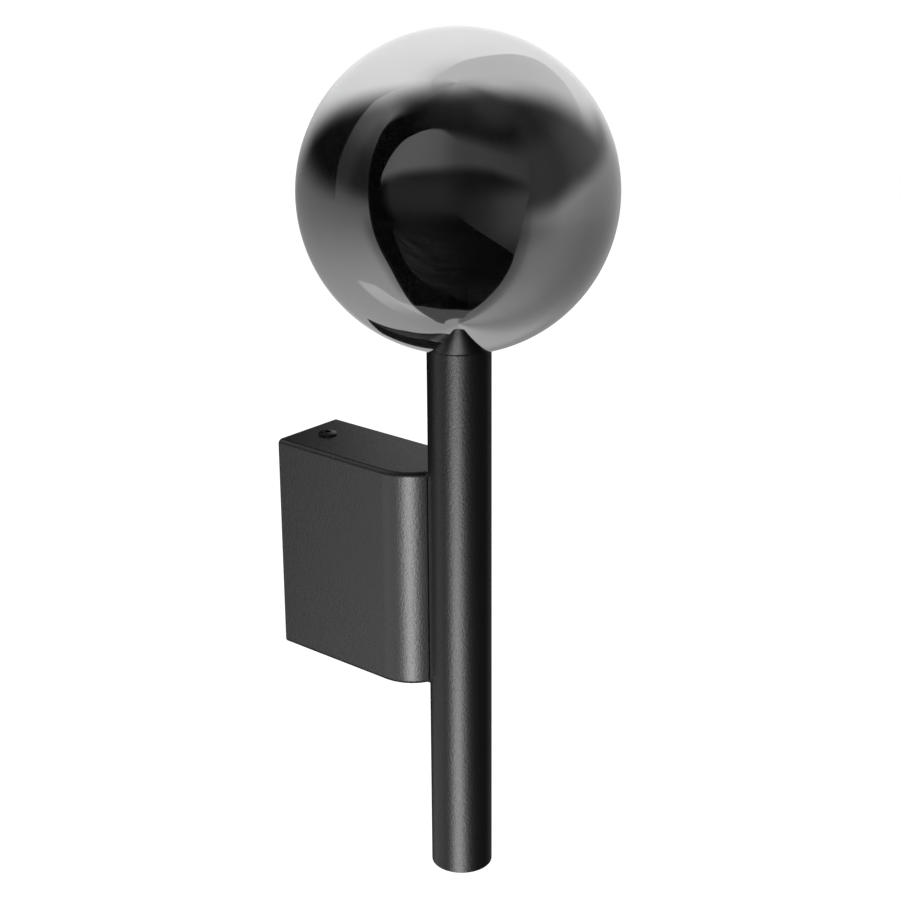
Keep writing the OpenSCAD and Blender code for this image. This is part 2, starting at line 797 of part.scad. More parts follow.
// Looped wire pins of the bulb, their ends sunk in the base
module bulb_pins() {
    bend = (pin_loop_w - pin_wire_d) / 2;
    color("silver") for (s = [-1, 1]) on_stem(bulb_floor_z) translate([s * pin_pitch / 2, 0, 0]) {
        for (x = [-bend, bend]) translate([x, 0, -pin_l + bend])
            cylinder(d = pin_wire_d, h = pin_l - bend + over, $fn = 32);
        translate([0, 0, -pin_l + bend]) rotate([-90, 0, 0]) rotate_extrude(angle = 180, $fn = 32)
            translate([bend, 0]) circle(d = pin_wire_d);
    }
}

// Upright circuit board inside the bulb
module led_board() {
    color("whitesmoke") on_stem(envelope_z + fit)
        translate([-board_w / 2, -board_t / 2, 0]) cube([board_w, board_t, board_h]);
}

// Light-emitting chips in a column on each face of the board
module led_chips() {
    pitch = board_h / (chip_count + 1);
    color("khaki") for (s = [-1, 1], i = [1:chip_count])
        on_stem(envelope_z + i * pitch)
        translate([0, s * (board_t / 2 + fit + chip_t / 2), 0])
        cube([chip_w, chip_t, chip_h], center = true);
}

// Domed tube of the bulb
module bulb_envelope() {
    straight = bulb_h - bulb_d / 2;
    inner_r = bulb_d / 2 - envelope_t;
    color("white", 0.6) on_stem(envelope_z + fit) difference() {
        union() {
            cylinder(d = bulb_d, h = straight);
            translate([0, 0, straight]) sphere(bulb_d / 2);
        }
        translate([0, 0, -over]) cylinder(r = inner_r, h = straight + over);
        translate([0, 0, straight]) sphere(inner_r);
    }
}

wall_bracket();
entry_grommet();
terminal_block();
terminal_barrels();
terminal_clamp_screws();
terminal_fixing_screw();
bracket_earth_screw();
earth_lugs();
wall_box();
cover_screws();
stem_tube();
stem_end_plug();
anchor_bar();
stem_screws();
saddle_washers();
wire_bushing();
socket_carrier();
lampholder();
lampholder_contacts();
lampholder_screws();
live_wire();
neutral_wire();
earth_wires();
wire_sleeve();
seal_ring();
globe();
glass_collar();
bulb_base();
bulb_pins();
led_board();
led_chips();
bulb_envelope();
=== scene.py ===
import math
import bmesh
import bpy
from mathutils import Matrix, Vector


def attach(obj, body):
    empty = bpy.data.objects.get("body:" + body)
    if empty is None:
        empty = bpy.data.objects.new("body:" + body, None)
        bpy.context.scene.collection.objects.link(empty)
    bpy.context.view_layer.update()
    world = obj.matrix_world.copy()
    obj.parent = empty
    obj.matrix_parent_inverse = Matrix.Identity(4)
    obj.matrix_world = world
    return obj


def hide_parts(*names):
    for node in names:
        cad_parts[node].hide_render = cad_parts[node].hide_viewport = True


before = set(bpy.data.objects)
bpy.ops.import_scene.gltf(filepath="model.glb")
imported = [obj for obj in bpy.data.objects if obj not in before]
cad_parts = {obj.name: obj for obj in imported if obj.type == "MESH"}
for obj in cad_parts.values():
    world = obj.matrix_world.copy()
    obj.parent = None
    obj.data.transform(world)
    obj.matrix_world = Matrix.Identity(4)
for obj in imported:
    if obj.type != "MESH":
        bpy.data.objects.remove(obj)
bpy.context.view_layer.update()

# Camera: it looks at the sconce's left front from a little above the globe. Its place and turn were
# fitted to the outlines of the stem, the globe and the box.
camera_spot = (-0.53823, -0.54615, 0.30703)
camera_yaw, camera_pitch, camera_roll = (math.radians(a) for a in (-49.016, 19.541, -0.434))
view_line = Vector((-math.sin(camera_yaw) * math.cos(camera_pitch),
                    math.cos(camera_yaw) * math.cos(camera_pitch), -math.sin(camera_pitch)))
level_right = Vector((math.cos(camera_yaw), math.sin(camera_yaw), 0))
level_up = level_right.cross(view_line)
right = math.cos(camera_roll) * level_right + math.sin(camera_roll) * level_up
upward = math.cos(camera_roll) * level_up - math.sin(camera_roll) * level_right
camera = bpy.data.objects.new("camera", bpy.data.cameras.new("camera"))
camera.data.sensor_width = 36
camera.data.lens = 77.368
camera.matrix_world = Matrix.Translation(camera_spot) @ Matrix(
    (right, upward, -view_line)).transposed().to_4x4()
bpy.context.scene.collection.objects.link(camera)
bpy.context.scene.camera = camera
bpy.context.scene.view_settings.view_transform = "Standard"


# Room: white all round for the camera, with a pale floor far below the sconce. What it gives as
# light is weaker, so that the pale floor and the metal keep their tone.
class Feed:
    """The output of a shader node, ready to be added, multiplied and so on."""

    def __init__(self, finish, socket):
        self.finish = finish
        self.socket = socket

    def worked(self, operation, first, second):
        return self.finish.node("Math", {"operation": operation}, {0: first, 1: second})

    def __add__(self, other):
        return self.worked("ADD", self, other)

    def __sub__(self, other):
        return self.worked("SUBTRACT", self, other)

    def __rsub__(self, other):
        return self.worked("SUBTRACT", other, self)

    def __mul__(self, other):
        return self.worked("MULTIPLY", self, other)

    def __truediv__(self, other):
        return self.worked("DIVIDE", self, other)

    def __rtruediv__(self, other):
        return self.worked("DIVIDE", other, self)

    def __pow__(self, other):
        return self.worked("POWER", self, other)

    __radd__ = __add__
    __rmul__ = __mul__


class Finish:
    """A material or the room's own colour, made of nodes."""

    def __init__(self, name, owner=None):
        self.material = owner or bpy.data.materials.new(name)
        self.material.use_nodes = True
        self.tree = self.material.node_tree
        self.tree.nodes.clear()

    def node(self, kind, settings=None, sockets=None, out=0):
        made = self.tree.nodes.new("ShaderNode" + kind)
        for name, value in (settings or {}).items():
            if name == "stops":
                self.lay_stops(made.color_ramp, value)
            elif name == "line":
                self.lay_line(made.mapping, value)
            else:
                setattr(made, name, value)
        for name, value in (sockets or {}).items():
            if isinstance(value, Feed):
                self.tree.links.new(value.socket, made.inputs[name])
            else:
                made.inputs[name].default_value = value
        return Feed(self, made.outputs[out])

    def lay_stops(self, ramp, stops):
        while len(ramp.elements) < len(stops):
            ramp.elements.new(1)
        for element, (place, colour) in zip(ramp.elements, stops):
            element.position = place
            element.color = (*colour, 1)

    def lay_line(self, mapping, points):
        line = mapping.curves[0]
        while len(line.points) < len(points):
            line.points.new(0.5, 0.5)
        for point, place in zip(line.points, sorted(points)):
            point.location = place
        mapping.update()

    def tint(self, share, first, second, way="MIX"):
        """Colour that goes from first to second as share goes from 0 to 1."""
        colours = {6: first, 7: second}
        for place, colour in colours.items():
            if not isinstance(colour, Feed):
                colours[place] = (*colour, 1)
        settings = {"data_type": "RGBA", "blend_type": way}
        return self.node("Mix", settings, {0: share, **colours}, out=2)

    def grain(self, per_mm, detail=2, stretch=(1, 1, 1)):
        """Cloudy pattern with so many spots to a millimetre."""
        place = self.node("VectorMath", {"operation": "MULTIPLY"}, {
            0: self.node("TexCoord", out="Object"), 1: tuple(1000 * s for s in stretch)})
        return self.node("TexNoise", None, {"Vector": place, "Scale": per_mm, "Detail": detail})

    def surface(self, colour, roughness, relief, depth, fixed=None):
        """Shades a piece. Relief is raised by depth, in millimetres, where it is 1."""
        bump = self.node("Bump", None, {"Strength": 1, "Distance": depth / 1000, "Height": relief})
        self.put_out(self.node("BsdfPrincipled", None, {
            "Base Color": colour, "Roughness": roughness, "Normal": bump, **(fixed or {})}))
        return self

    def put_out(self, feed, kind="Material"):
        end = self.tree.nodes.new("ShaderNodeOutput" + kind)
        self.tree.links.new(feed.socket, end.inputs["Surface"])
        return self.material


def shown_white(finish):
    """1 where a camera, a gloss or a glass looks, and 0 for light that falls on a piece."""
    looks = [finish.node("LightPath", out=name)
             for name in ("Is Camera Ray", "Is Glossy Ray", "Is Transmission Ray")]
    return finish.node("Math", {"operation": "MAXIMUM"}, {
        0: looks[0], 1: finish.node("Math", {"operation": "MAXIMUM"}, {0: looks[1], 1: looks[2]})})


room_light = 0.34
white_room = Finish("white_room", bpy.data.worlds.new("white_room"))
white_room.put_out(white_room.node("Background", None, {
    "Color": (1, 1, 1, 1),
    "Strength": room_light + (1 - room_light) * shown_white(white_room)}), "World")
bpy.context.scene.world = white_room.material

floor_z = -1.5
floor_size = 14
bm = bmesh.new()
bmesh.ops.create_grid(bm, x_segments=1, y_segments=1, size=floor_size / 2)
bmesh.ops.translate(bm, verts=bm.verts, vec=(0, 0, floor_z))
floor_mesh = bpy.data.meshes.new("floor")
bm.to_mesh(floor_mesh)
floor = bpy.data.objects.new("floor", floor_mesh)
bpy.context.scene.collection.objects.link(floor)
pale = Finish("pale_floor")
matt = pale.node("BsdfDiffuse", None, {"Color": (0.8, 0.8, 0.8, 1)})
glow = pale.node("Emission", None, {"Color": (1, 1, 1, 1), "Strength": 0.85 * shown_white(pale)})
floor_mesh.materials.append(pale.put_out(pale.node("AddShader", None, {0: matt, 1: glow})))


# Wall bracket: zinc-plated sheet steel, folded at both ends into flanges with tapped bosses for the
# cover screws. It is screwed to the wall through two slots, and the supply has a round hole.
def smooth_piece(name, bm, finish, sharp=30):
    """Turns a bmesh in millimetres into a finished object in metres."""
    bmesh.ops.remove_doubles(bm, verts=bm.verts, dist=0.002)
    bmesh.ops.recalc_face_normals(bm, faces=bm.faces)
    bmesh.ops.scale(bm, verts=bm.verts, vec=(0.001,) * 3)
    for face in bm.faces:
        face.smooth = True
    for edge in bm.edges:
        edge.smooth = edge.is_manifold and edge.calc_face_angle() < math.radians(sharp)
    mesh = bpy.data.meshes.new(name)
    bm.to_mesh(mesh)
    bm.free()
    mesh.materials.append(finish.material)
    piece = bpy.data.objects.new(name, mesh)
    bpy.context.scene.collection.objects.link(piece)
    even = piece.modifiers.new("even_shading", "WEIGHTED_NORMAL")
    even.keep_sharp = True
    return piece


def fitted(bm, spot, facing=(0, 0, 1)):
    """Turns a shape made round the origin's Z so that it faces a way, and moves it to a spot."""
    turn = Vector(facing).to_track_quat("Z", "Y").to_matrix().to_4x4()
    bmesh.ops.transform(bm, matrix=Matrix.Translation(spot) @ turn, verts=bm.verts)


def round_off(bm, geom, radius, segments=8, affect="EDGES"):
    bmesh.ops.bevel(bm, geom=geom, offset=radius, offset_type="OFFSET", affect=affect,
                    segments=segments, profile=0.5, material=-1)


def added(bm, extra):
    """Puts a second shape into the first one's mesh."""
    part = bpy.data.meshes.new("part")
    extra.to_mesh(part)
    extra.free()
    bm.from_mesh(part)
    bpy.data.meshes.remove(part)


def turned(bm, outline, steps=96, rounded=()):
    """Spins a closed outline of (radius, height) points round Z, and rounds the edges that are
    given as (radius, height, rounding)."""
    verts = [bm.verts.new((r, 0, z)) for r, z in outline]
    edges = [bm.edges.new(pair) for pair in zip(verts, verts[1:] + verts[:1])
             if not (abs(pair[0].co.x) < 1e-4 and abs(pair[1].co.x) < 1e-4)]
    bmesh.ops.spin(bm, geom=verts + edges, cent=(0, 0, 0), axis=(0, 0, 1),
                   angle=2 * math.pi, steps=steps, use_merge=True)
    bmesh.ops.remove_doubles(bm, verts=bm.verts, dist=0.002)
    bmesh.ops.recalc_face_normals(bm, faces=bm.faces)
    for radius, height, rounding in rounded:
        rim = [e for e in bm.edges if all(abs(math.hypot(v.co.x, v.co.y) - radius) < 0.02 and
                                          abs(v.co.z - height) < 0.02 for v in e.verts)]
        round_off(bm, rim, rounding, 4)


def drill(start, end, radius, slot=(0, 0, 0)):
    """Round cutter between two points, drawn out to a slot's half length both ways."""
    cutter = bmesh.new()
    line = Vector(end) - Vector(start)
    facets_off_seams = Matrix.Rotation(math.radians(2), 4, "Z")
    bmesh.ops.create_cone(cutter, cap_ends=True, segments=48, radius1=radius, radius2=radius,
                          depth=line.length, matrix=facets_off_seams)
    fitted(cutter, (Vector(start) + Vector(end)) / 2, line)
    for vert in cutter.verts:
        side = (vert.co - Vector(start)).dot(slot)
        vert.co += Vector(slot) * ((side > 0) - (side < 0))
    return cutter


def cut(piece, cutters):
    """Takes cutters, given in millimetres, out of a finished piece."""
    for cutter in cutters:
        bmesh.ops.scale(cutter, verts=cutter.verts, vec=(0.001,) * 3)
        mesh = bpy.data.meshes.new("cutter")
        cutter.to_mesh(mesh)
        cutter.free()
        tool = bpy.data.objects.new("cutter", mesh)
        bpy.context.scene.collection.objects.link(tool)
        hole = piece.modifiers.new("hole", "BOOLEAN")
        hole.object = tool
        hole.solver = "EXACT"
        piece.modifiers.move(len(piece.modifiers) - 1, 0)
        piece.modifiers["even_shading"].show_viewport = False
        whole = piece.data
        piece.data = bpy.data.meshes.new_from_object(
            piece.evaluated_get(bpy.context.evaluated_depsgraph_get()))
        piece.modifiers.remove(hole)
        piece.modifiers["even_shading"].show_viewport = True
        bpy.data.meshes.remove(whole)
        bpy.data.objects.remove(tool)
        bpy.data.meshes.remove(mesh)


zinc = Finish("zinc_steel")
spangle = zinc.grain(0.35, 3)
scratch = zinc.grain(1.6, 3, (1, 1, 0.08))
zinc.surface(zinc.tint(spangle, (0.50, 0.51, 0.52), (0.70, 0.71, 0.73)), 0.24 + 0.2 * scratch,
             scratch, 0.006, {"Metallic": 1})

bracket_w, bracket_h, bracket_t, flange, bend, corner_r = 31.5, 88.1, 1.5, 18, 2.5, 3
cover_y, slot_z, entry_z, block_z = -11.5, 32, -9.5, 11.5
slot_r, slot_stretch, entry_r, boss_h = 2.25, 1.75, 6.5, 2
earth_x, earth_z = 11, -20
bm = bmesh.new()
fold = [bm.verts.new((-bracket_w / 2, y, z)) for y, z in (
    (-flange, bracket_h / 2), (0, bracket_h / 2), (0, -bracket_h / 2), (-flange, -bracket_h / 2))]
side = [bm.edges.new(pair) for pair in zip(fold, fold[1:])]
sheet = bmesh.ops.extrude_edge_only(bm, edges=side)["geom"]
bmesh.ops.translate(bm, verts=[g for g in sheet if isinstance(g, bmesh.types.BMVert)],
                    vec=(bracket_w, 0, 0))
bends = [e for e in bm.edges if not e.is_boundary]
round_off(bm, bends, bend)
corners = [v for v in bm.verts if abs(v.co.y + flange) < 0.01]
round_off(bm, corners, corner_r, affect="VERTICES")
bmesh.ops.recalc_face_normals(bm, faces=bm.faces)
plate = max(bm.faces, key=lambda face: face.calc_area())
if plate.normal.y < 0:
    bmesh.ops.reverse_faces(bm, faces=bm.faces)
bmesh.ops.solidify(bm, geom=bm.faces[:], thickness=bracket_t)
for up in (-1, 1):
    boss = bmesh.new()
    turned(boss, [(2.06, 0), (3.5, 0), (3.5, 2.05), (2.06, 2.05)], 48, [(3.5, 0, 0.4)])
    fitted(boss, (0, cover_y, up * (bracket_h / 2 - bracket_t - boss_h)), (0, 0, up))
    added(bm, boss)
bracket = smooth_piece("bracket", bm, zinc)
cut(bracket, [drill((0, cover_y, -60), (0, cover_y, 60), 2.05)] + [
    drill((x, -4, z), (x, 4, z), radius, (0, 0, stretch)) for x, z, radius, stretch in (
        (0, slot_z, slot_r, slot_stretch), (0, -slot_z, slot_r, slot_stretch),
        (0, entry_z, entry_r, 0), (earth_x, earth_z, 2, 0), (-4.5, block_z, 1.25, 0))])
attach(bracket, "fixture")
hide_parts("wall_bracket")

# Cable grommet: a moulded grey rubber ring with a soft flange, pressed into the bracket's hole from
# the room side, so that the sheet's edge can't cut the supply cable.
rubber = Finish("grey_rubber")
bloom = rubber.grain(0.5, 4)
pores = rubber.grain(6, 2)
rubber.surface(rubber.tint(bloom, (0.095, 0.095, 0.10), (0.15, 0.15, 0.155)), 0.62 + 0.16 * bloom,
               pores, 0.012)
bm = bmesh.new()
turned(bm, [(4.1, 0), (6.45, 0), (6.45, 1.35), (8.7, 1.35), (8.7, 2.85), (4.1, 2.85)], 72,
       [(8.7, 2.85, 0.6), (4.1, 2.85, 0.5), (6.45, 0, 0.3), (4.1, 0, 0.3), (8.7, 1.35, 0.3)])
fitted(bm, (0, -0.2, entry_z), (0, -1, 0))
grommet = smooth_piece("grommet", bm, rubber)
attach(grommet, "fixture")
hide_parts("entry_grommet")


# Terminal block: a moulded housing with three brass barrels. Slotted screws clamp the wires in the
# barrels, and one button-head screw holds the block on the bracket.
def dressed(finish, *nodes):
    """Gives carried-over solids a finish in place of their plain colour."""
    for node in nodes:
        bpy.data.objects[node].material_slots[0].material = finish.material


ivory = Finish("terminal_plastic")
flow = ivory.grain(0.18, 3)
ivory.surface(ivory.tint(flow, (0.76, 0.74, 0.67), (0.85, 0.83, 0.77)), 0.42 + 0.12 * flow,
              ivory.grain(5, 2), 0.008)
brass = Finish("brass")
tarnish = brass.grain(0.4, 4)
brass.surface(brass.tint(tarnish, (0.56, 0.40, 0.16), (0.76, 0.58, 0.27)), 0.2 + 0.22 * tarnish,
              brass.grain(3, 2, (1, 1, 0.1)), 0.005, {"Metallic": 1})
dressed(ivory, "terminal_block")
dressed(brass, "terminal_barrels")
dressed(zinc, "terminal_clamp_screws", "terminal_fixing_screw")


# Earth screw of the bracket: brass, button head with a hexagon socket. It clamps a tinned ring lug,
# and a second lug sits under the stem's upper screw.
def button_head(bm, head_r, head_h, rim_h, socket, deep, shank_r, length):
    """Button-head screw on the plane z = 0 about the origin, with a hexagon socket."""
    dome = head_h - rim_h
    dome_r = (dome * dome + head_r * head_r) / (2 * dome)
    mouth_r = 1.05 * socket / 2 / math.cos(math.pi / 6)
    outline = [(0, -length), (shank_r - 0.3, -length), (shank_r, 0.3 - length), (shank_r, 0),
               (head_r, 0), (head_r, rim_h)]
    for i in range(1, 11):
        r = head_r + (mouth_r - head_r) * i / 10
        outline.append((r, head_h - dome_r + math.sqrt(dome_r ** 2 - r ** 2)))
    mouth_z = outline[-1][1]
    verts = [bm.verts.new((r, 0, z)) for r, z in outline]
    edges = [bm.edges.new(pair) for pair in zip(verts, verts[1:])]
    bmesh.ops.spin(bm, geom=verts + edges, cent=(0, 0, 0), axis=(0, 0, 1),
                   angle=2 * math.pi, steps=48, use_merge=True)
    bmesh.ops.remove_doubles(bm, verts=bm.verts, dist=0.002)
    rim = [e for e in bm.edges if e.is_boundary]
    for drop in (0.12, deep):
        rim = [g for g in bmesh.ops.extrude_edge_only(bm, edges=rim)["geom"]
               if isinstance(g, bmesh.types.BMEdge) and g.is_boundary]
        for vert in {v for e in rim for v in e.verts}:
            angle = math.atan2(vert.co.y, vert.co.x) % (math.pi / 3) - math.pi / 6
            reach = socket / 2 / math.cos(angle)
            vert.co = Vector((*(vert.co.xy.normalized() * reach), mouth_z - drop))
    bmesh.ops.contextual_create(bm, geom=rim)


tin = Finish("tinned_metal")
dull = tin.grain(0.6, 4)
tin.surface(tin.tint(dull, (0.58, 0.58, 0.57), (0.78, 0.78, 0.76)), 0.22 + 0.2 * dull,
            tin.grain(4, 2), 0.004, {"Metallic": 1})
bm = bmesh.new()
button_head(bm, 3.8, 2.2, 0.55, 2.5, 1.3, 1.95, 2.3)
fitted(bm, (earth_x, -2.4, earth_z), (0, -1, 0))
earth_screw = smooth_piece("earth_screw", bm, brass, sharp=35)
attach(earth_screw, "fixture")
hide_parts("bracket_earth_screw")
dressed(tin, "earth_lugs")

# Wall box: a zinc die casting with a half-round nose and a cradle that the stem lies in. It is
# powder coated in a black charcoal, with a fine grain that shows in its highlights.
charcoal = Finish("charcoal_coat")
peel = charcoal.grain(0.35, 2)
powder = charcoal.grain(1.1, 2, (1.2, 1.2, 0.75))
shade = charcoal.tint(charcoal.grain(0.06, 3), (0.011, 0.011, 0.0115), (0.016, 0.016, 0.0165))
charcoal.surface(shade, 0.36 + 0.04 * peel + 0.08 * powder, powder, 0.08)

half_w, nose_y, nose_r, rear_y, half_h, wall = 17.75, -57.75, 17.75, -0.3, 45.75, 1.5
edge_r, rim_r, tip_r, stem_y = 2, 0.35, 0.45, -83.5
horn = Vector((7.8203, -73.6846))
bm = bmesh.new()
nose_turn = math.atan2(nose_y - horn.y, horn.x)
start = bm.verts.new((half_w, nose_y, -half_h))
bmesh.ops.spin(bm, geom=[start], cent=(0, nose_y, 0), axis=(0, 0, 1), angle=-nose_turn, steps=28)
bmesh.ops.mirror(bm, geom=bm.verts[:] + bm.edges[:], axis="X", merge_dist=0.001)
cradle_turn = 2 * math.atan2(horn.x, horn.y - stem_y)
start = bm.verts.new((horn.x, horn.y, -half_h))
bmesh.ops.spin(bm, geom=[start], cent=(0, stem_y, 0), axis=(0, 0, 1), angle=cradle_turn, steps=32)
rear = [bm.verts.new((x, rear_y, -half_h)) for x in (-half_w, half_w)]
bm.edges.new(rear)
bmesh.ops.remove_doubles(bm, verts=bm.verts, dist=0.01)
for vert in rear:
    near = [v for v in bm.verts if abs(v.co.x - vert.co.x) < 0.01 and abs(v.co.y - nose_y) < 0.01]
    bm.edges.new((vert, near[0]))
bmesh.ops.contextual_create(bm, geom=bm.edges[:])
grown = bmesh.ops.extrude_face_region(bm, geom=bm.faces[:])
bmesh.ops.translate(bm, verts=[v for v in grown["geom"] if isinstance(v, bmesh.types.BMVert)],
                    vec=(0, 0, 2 * half_h))
bmesh.ops.recalc_face_normals(bm, faces=bm.faces)
long_edges = []
for edge in bm.edges:
    a, b = (v.co for v in edge.verts)
    if abs(a.z - b.z) > 0.01 or min(a.y, b.y) < horn.y - 0.01:
        continue
    outside = all(abs(abs(p.x) - half_w) < 0.01 or (p.y < nose_y + 0.01 and
                  abs((p.xy - Vector((0, nose_y))).length - nose_r) < 0.02) for p in (a, b))
    if outside and not (abs(a.y - rear_y) < 0.01 and abs(b.y - rear_y) < 0.01):
        long_edges.append(edge)
round_off(bm, long_edges, edge_r)
bmesh.ops.recalc_face_normals(bm, faces=bm.faces)
back = [f for f in bm.faces if all(abs(v.co.y - rear_y) < 0.01 for v in f.verts)]
bmesh.ops.delete(bm, geom=back, context="FACES_ONLY")
outer_rim = {frozenset(tuple(v.co) for v in e.verts) for e in bm.edges if e.is_boundary}
bmesh.ops.solidify(bm, geom=bm.faces[:], thickness=wall)
rim = [e for e in bm.edges if any(all(min((v.co - Vector(p)).length for p in pair) < 0.001
                                      for v in e.verts) for pair in outer_rim)]
round_off(bm, rim, rim_r, 3)
tips = [e for e in bm.edges if all(abs(abs(v.co.x) - horn.x) < 0.01 and abs(v.co.y - horn.y) < 0.01
                                   for v in e.verts)]
round_off(bm, tips, tip_r, 3)
box = smooth_piece("box_shell", bm, charcoal)
stem_bores = [((0, stem_y + 2, z), (0, -60, z), radius)
              for z, radius in ((22, 2.25), (-22, 2.25), (0, 4.55))]
cut(box, [drill((0, cover_y, -60), (0, cover_y, 60), 2.25)] + [drill(*bore) for bore in stem_bores])
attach(box, "fixture")
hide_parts("wall_box")

# Cover screws: black-oxide steel, button heads with hexagon sockets. They go through the top and
# the bottom of the box near the wall, into the bracket's flanges.
oxide = Finish("black_screw")
oxide.surface(oxide.tint(oxide.grain(0.9, 3), (0.007, 0.007, 0.008), (0.02, 0.02, 0.022)),
              0.3 + 0.12 * oxide.grain(0.7, 2), oxide.grain(3, 2), 0.004)
bm = bmesh.new()
button_head(bm, 3.8, 1.3, 0.65, 2.5, 1.1, 1.95, 8)
fitted(bm, (0, cover_y, half_h + 0.05))
twin = bmesh.ops.duplicate(bm, geom=bm.verts[:] + bm.edges[:] + bm.faces[:])["geom"]
bmesh.ops.scale(bm, verts=[g for g in twin if isinstance(g, bmesh.types.BMVert)], vec=(1, 1, -1))
cover_screws = smooth_piece("box_screws", bm, oxide, sharp=35)
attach(cover_screws, "fixture")
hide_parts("cover_screws")

# Stem: drawn steel tube with a wider mouth at the top for the globe's collar, coated as the box is.
# A pressed disc in the same coat closes its lower end.
stem_low, stem_top, stem_r, bore_r, mouth_r, mouth = -126.75, 97.25, 12.5, 10.5, 11, 12
bm = bmesh.new()
turned(bm, [(bore_r, stem_low), (stem_r, stem_low), (stem_r, stem_top), (mouth_r, stem_top),
            (mouth_r, stem_top - mouth), (bore_r, stem_top - mouth)], 128,
       [(stem_r, stem_low, 0.4), (stem_r, stem_top, 0.4), (mouth_r, stem_top, 0.2)])
fitted(bm, (0, stem_y, 0))
stem = smooth_piece("stem", bm, charcoal, sharp=40)
cut(stem, [drill(*bore) for bore in stem_bores])
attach(stem, "fixture")
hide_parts("stem_tube")
plug_r, plug_low, plug_top = 10.45, -126.35, -122.35
bm = bmesh.new()
turned(bm, [(0, plug_low), (plug_r, plug_low), (plug_r, plug_top), (0, plug_top)], 96,
       [(plug_r, plug_low, 0.5), (plug_r, plug_top, 0.5)])
fitted(bm, (0, stem_y, 0))
end_plug = smooth_piece("end_plug", bm, charcoal)
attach(end_plug, "fixture")
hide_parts("stem_end_plug")

# Stem fixing: two zinc-plated screws pull a threaded bar inside the stem against the cradle, with
# saddle washers of turned aluminium under the heads. A moulded bushing lines the wire hole.
aluminium = Finish("aluminium")
tool_marks = aluminium.grain(2.2, 2, (0.15, 0.15, 1))
aluminium.surface(aluminium.tint(aluminium.grain(0.3, 3), (0.62, 0.63, 0.64), (0.80, 0.81, 0.82)),
                  0.26 + 0.18 * tool_marks, tool_marks, 0.006, {"Metallic": 1})
dark_moulding = Finish("dark_plastic")
dark_flow = dark_moulding.grain(0.3, 3)
dark_moulding.surface(dark_moulding.tint(dark_flow, (0.045, 0.045, 0.05), (0.075, 0.075, 0.08)),
                      0.45 + 0.12 * dark_flow, dark_moulding.grain(5, 2), 0.008)
bm = bmesh.new()
for height, seat_y in ((-22, -67.35), (22, -66.5)):
    screw = bmesh.new()
    button_head(screw, 3.8, 2.2, 0.55, 2.5, 1.3, 1.95, 12)
    fitted(screw, (0, seat_y, height), (0, 1, 0))
    added(bm, screw)
bar_screws = smooth_piece("bar_screws", bm, zinc, sharp=35)
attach(bar_screws, "fixture")
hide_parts("stem_screws")
dressed(zinc, "anchor_bar")
dressed(aluminium, "saddle_washers")
dressed(dark_moulding, "wire_bushing")

# Lampholder: pressed unglazed ceramic on a turned aluminium carrier inside the stem. Brass spring
# clips in its pockets take the bulb's two loops, and two small screws hold it on the carrier.
ceramic = Finish("ceramic")
fired = ceramic.grain(0.25, 4)
speck = ceramic.grain(4, 3)
ceramic.surface(ceramic.tint(fired, (0.78, 0.765, 0.72), (0.88, 0.87, 0.84)), 0.55 + 0.2 * fired,
                speck, 0.02)


def block(middle, size):
    """Square cutter about a middle point."""
    cutter = bmesh.new()
    bmesh.ops.create_cube(cutter, size=1)
    bmesh.ops.scale(cutter, verts=cutter.verts, vec=size)
    bmesh.ops.translate(cutter, verts=cutter.verts, vec=middle)
    return cutter


holder_low, holder_top, pin_x, screw_y = 68.25, 83.25, 4.5, 6.4
bm = bmesh.new()
turned(bm, [(0, holder_low), (9, holder_low), (9, holder_top), (0, holder_top)], 96,
       [(9, holder_top, 0.6), (9, holder_low, 0.4)])
facets_off_pins = Matrix.Rotation(math.radians(1.3), 3, "Z")
bmesh.ops.rotate(bm, verts=bm.verts, matrix=facets_off_pins)
fitted(bm, (0, stem_y, 0))
lampholder = smooth_piece("lampholder_body", bm, ceramic)
cutters = [block((0, stem_y, holder_top), (14.6, 7.8, 4))]
for sign in (-1, 1):
    pocket_h = 11.5
    cutters += [
        block((sign * pin_x, stem_y, holder_top - pocket_h / 2), (4.4, 2.6, pocket_h)),
        drill((sign * pin_x, stem_y, holder_low - 1), (sign * pin_x, stem_y, holder_low + 6), 1.3),
        drill((0, stem_y + sign * screw_y, holder_low - 1), (0, stem_y + sign * screw_y, 85), 1.4),
        drill((0, stem_y + sign * screw_y, holder_top - 3), (0, stem_y + sign * screw_y, 85), 2.35)]
cut(lampholder, cutters)
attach(lampholder, "fixture")
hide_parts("lampholder")
dressed(aluminium, "socket_carrier")
dressed(brass, "lampholder_contacts")
dressed(zinc, "lampholder_screws")


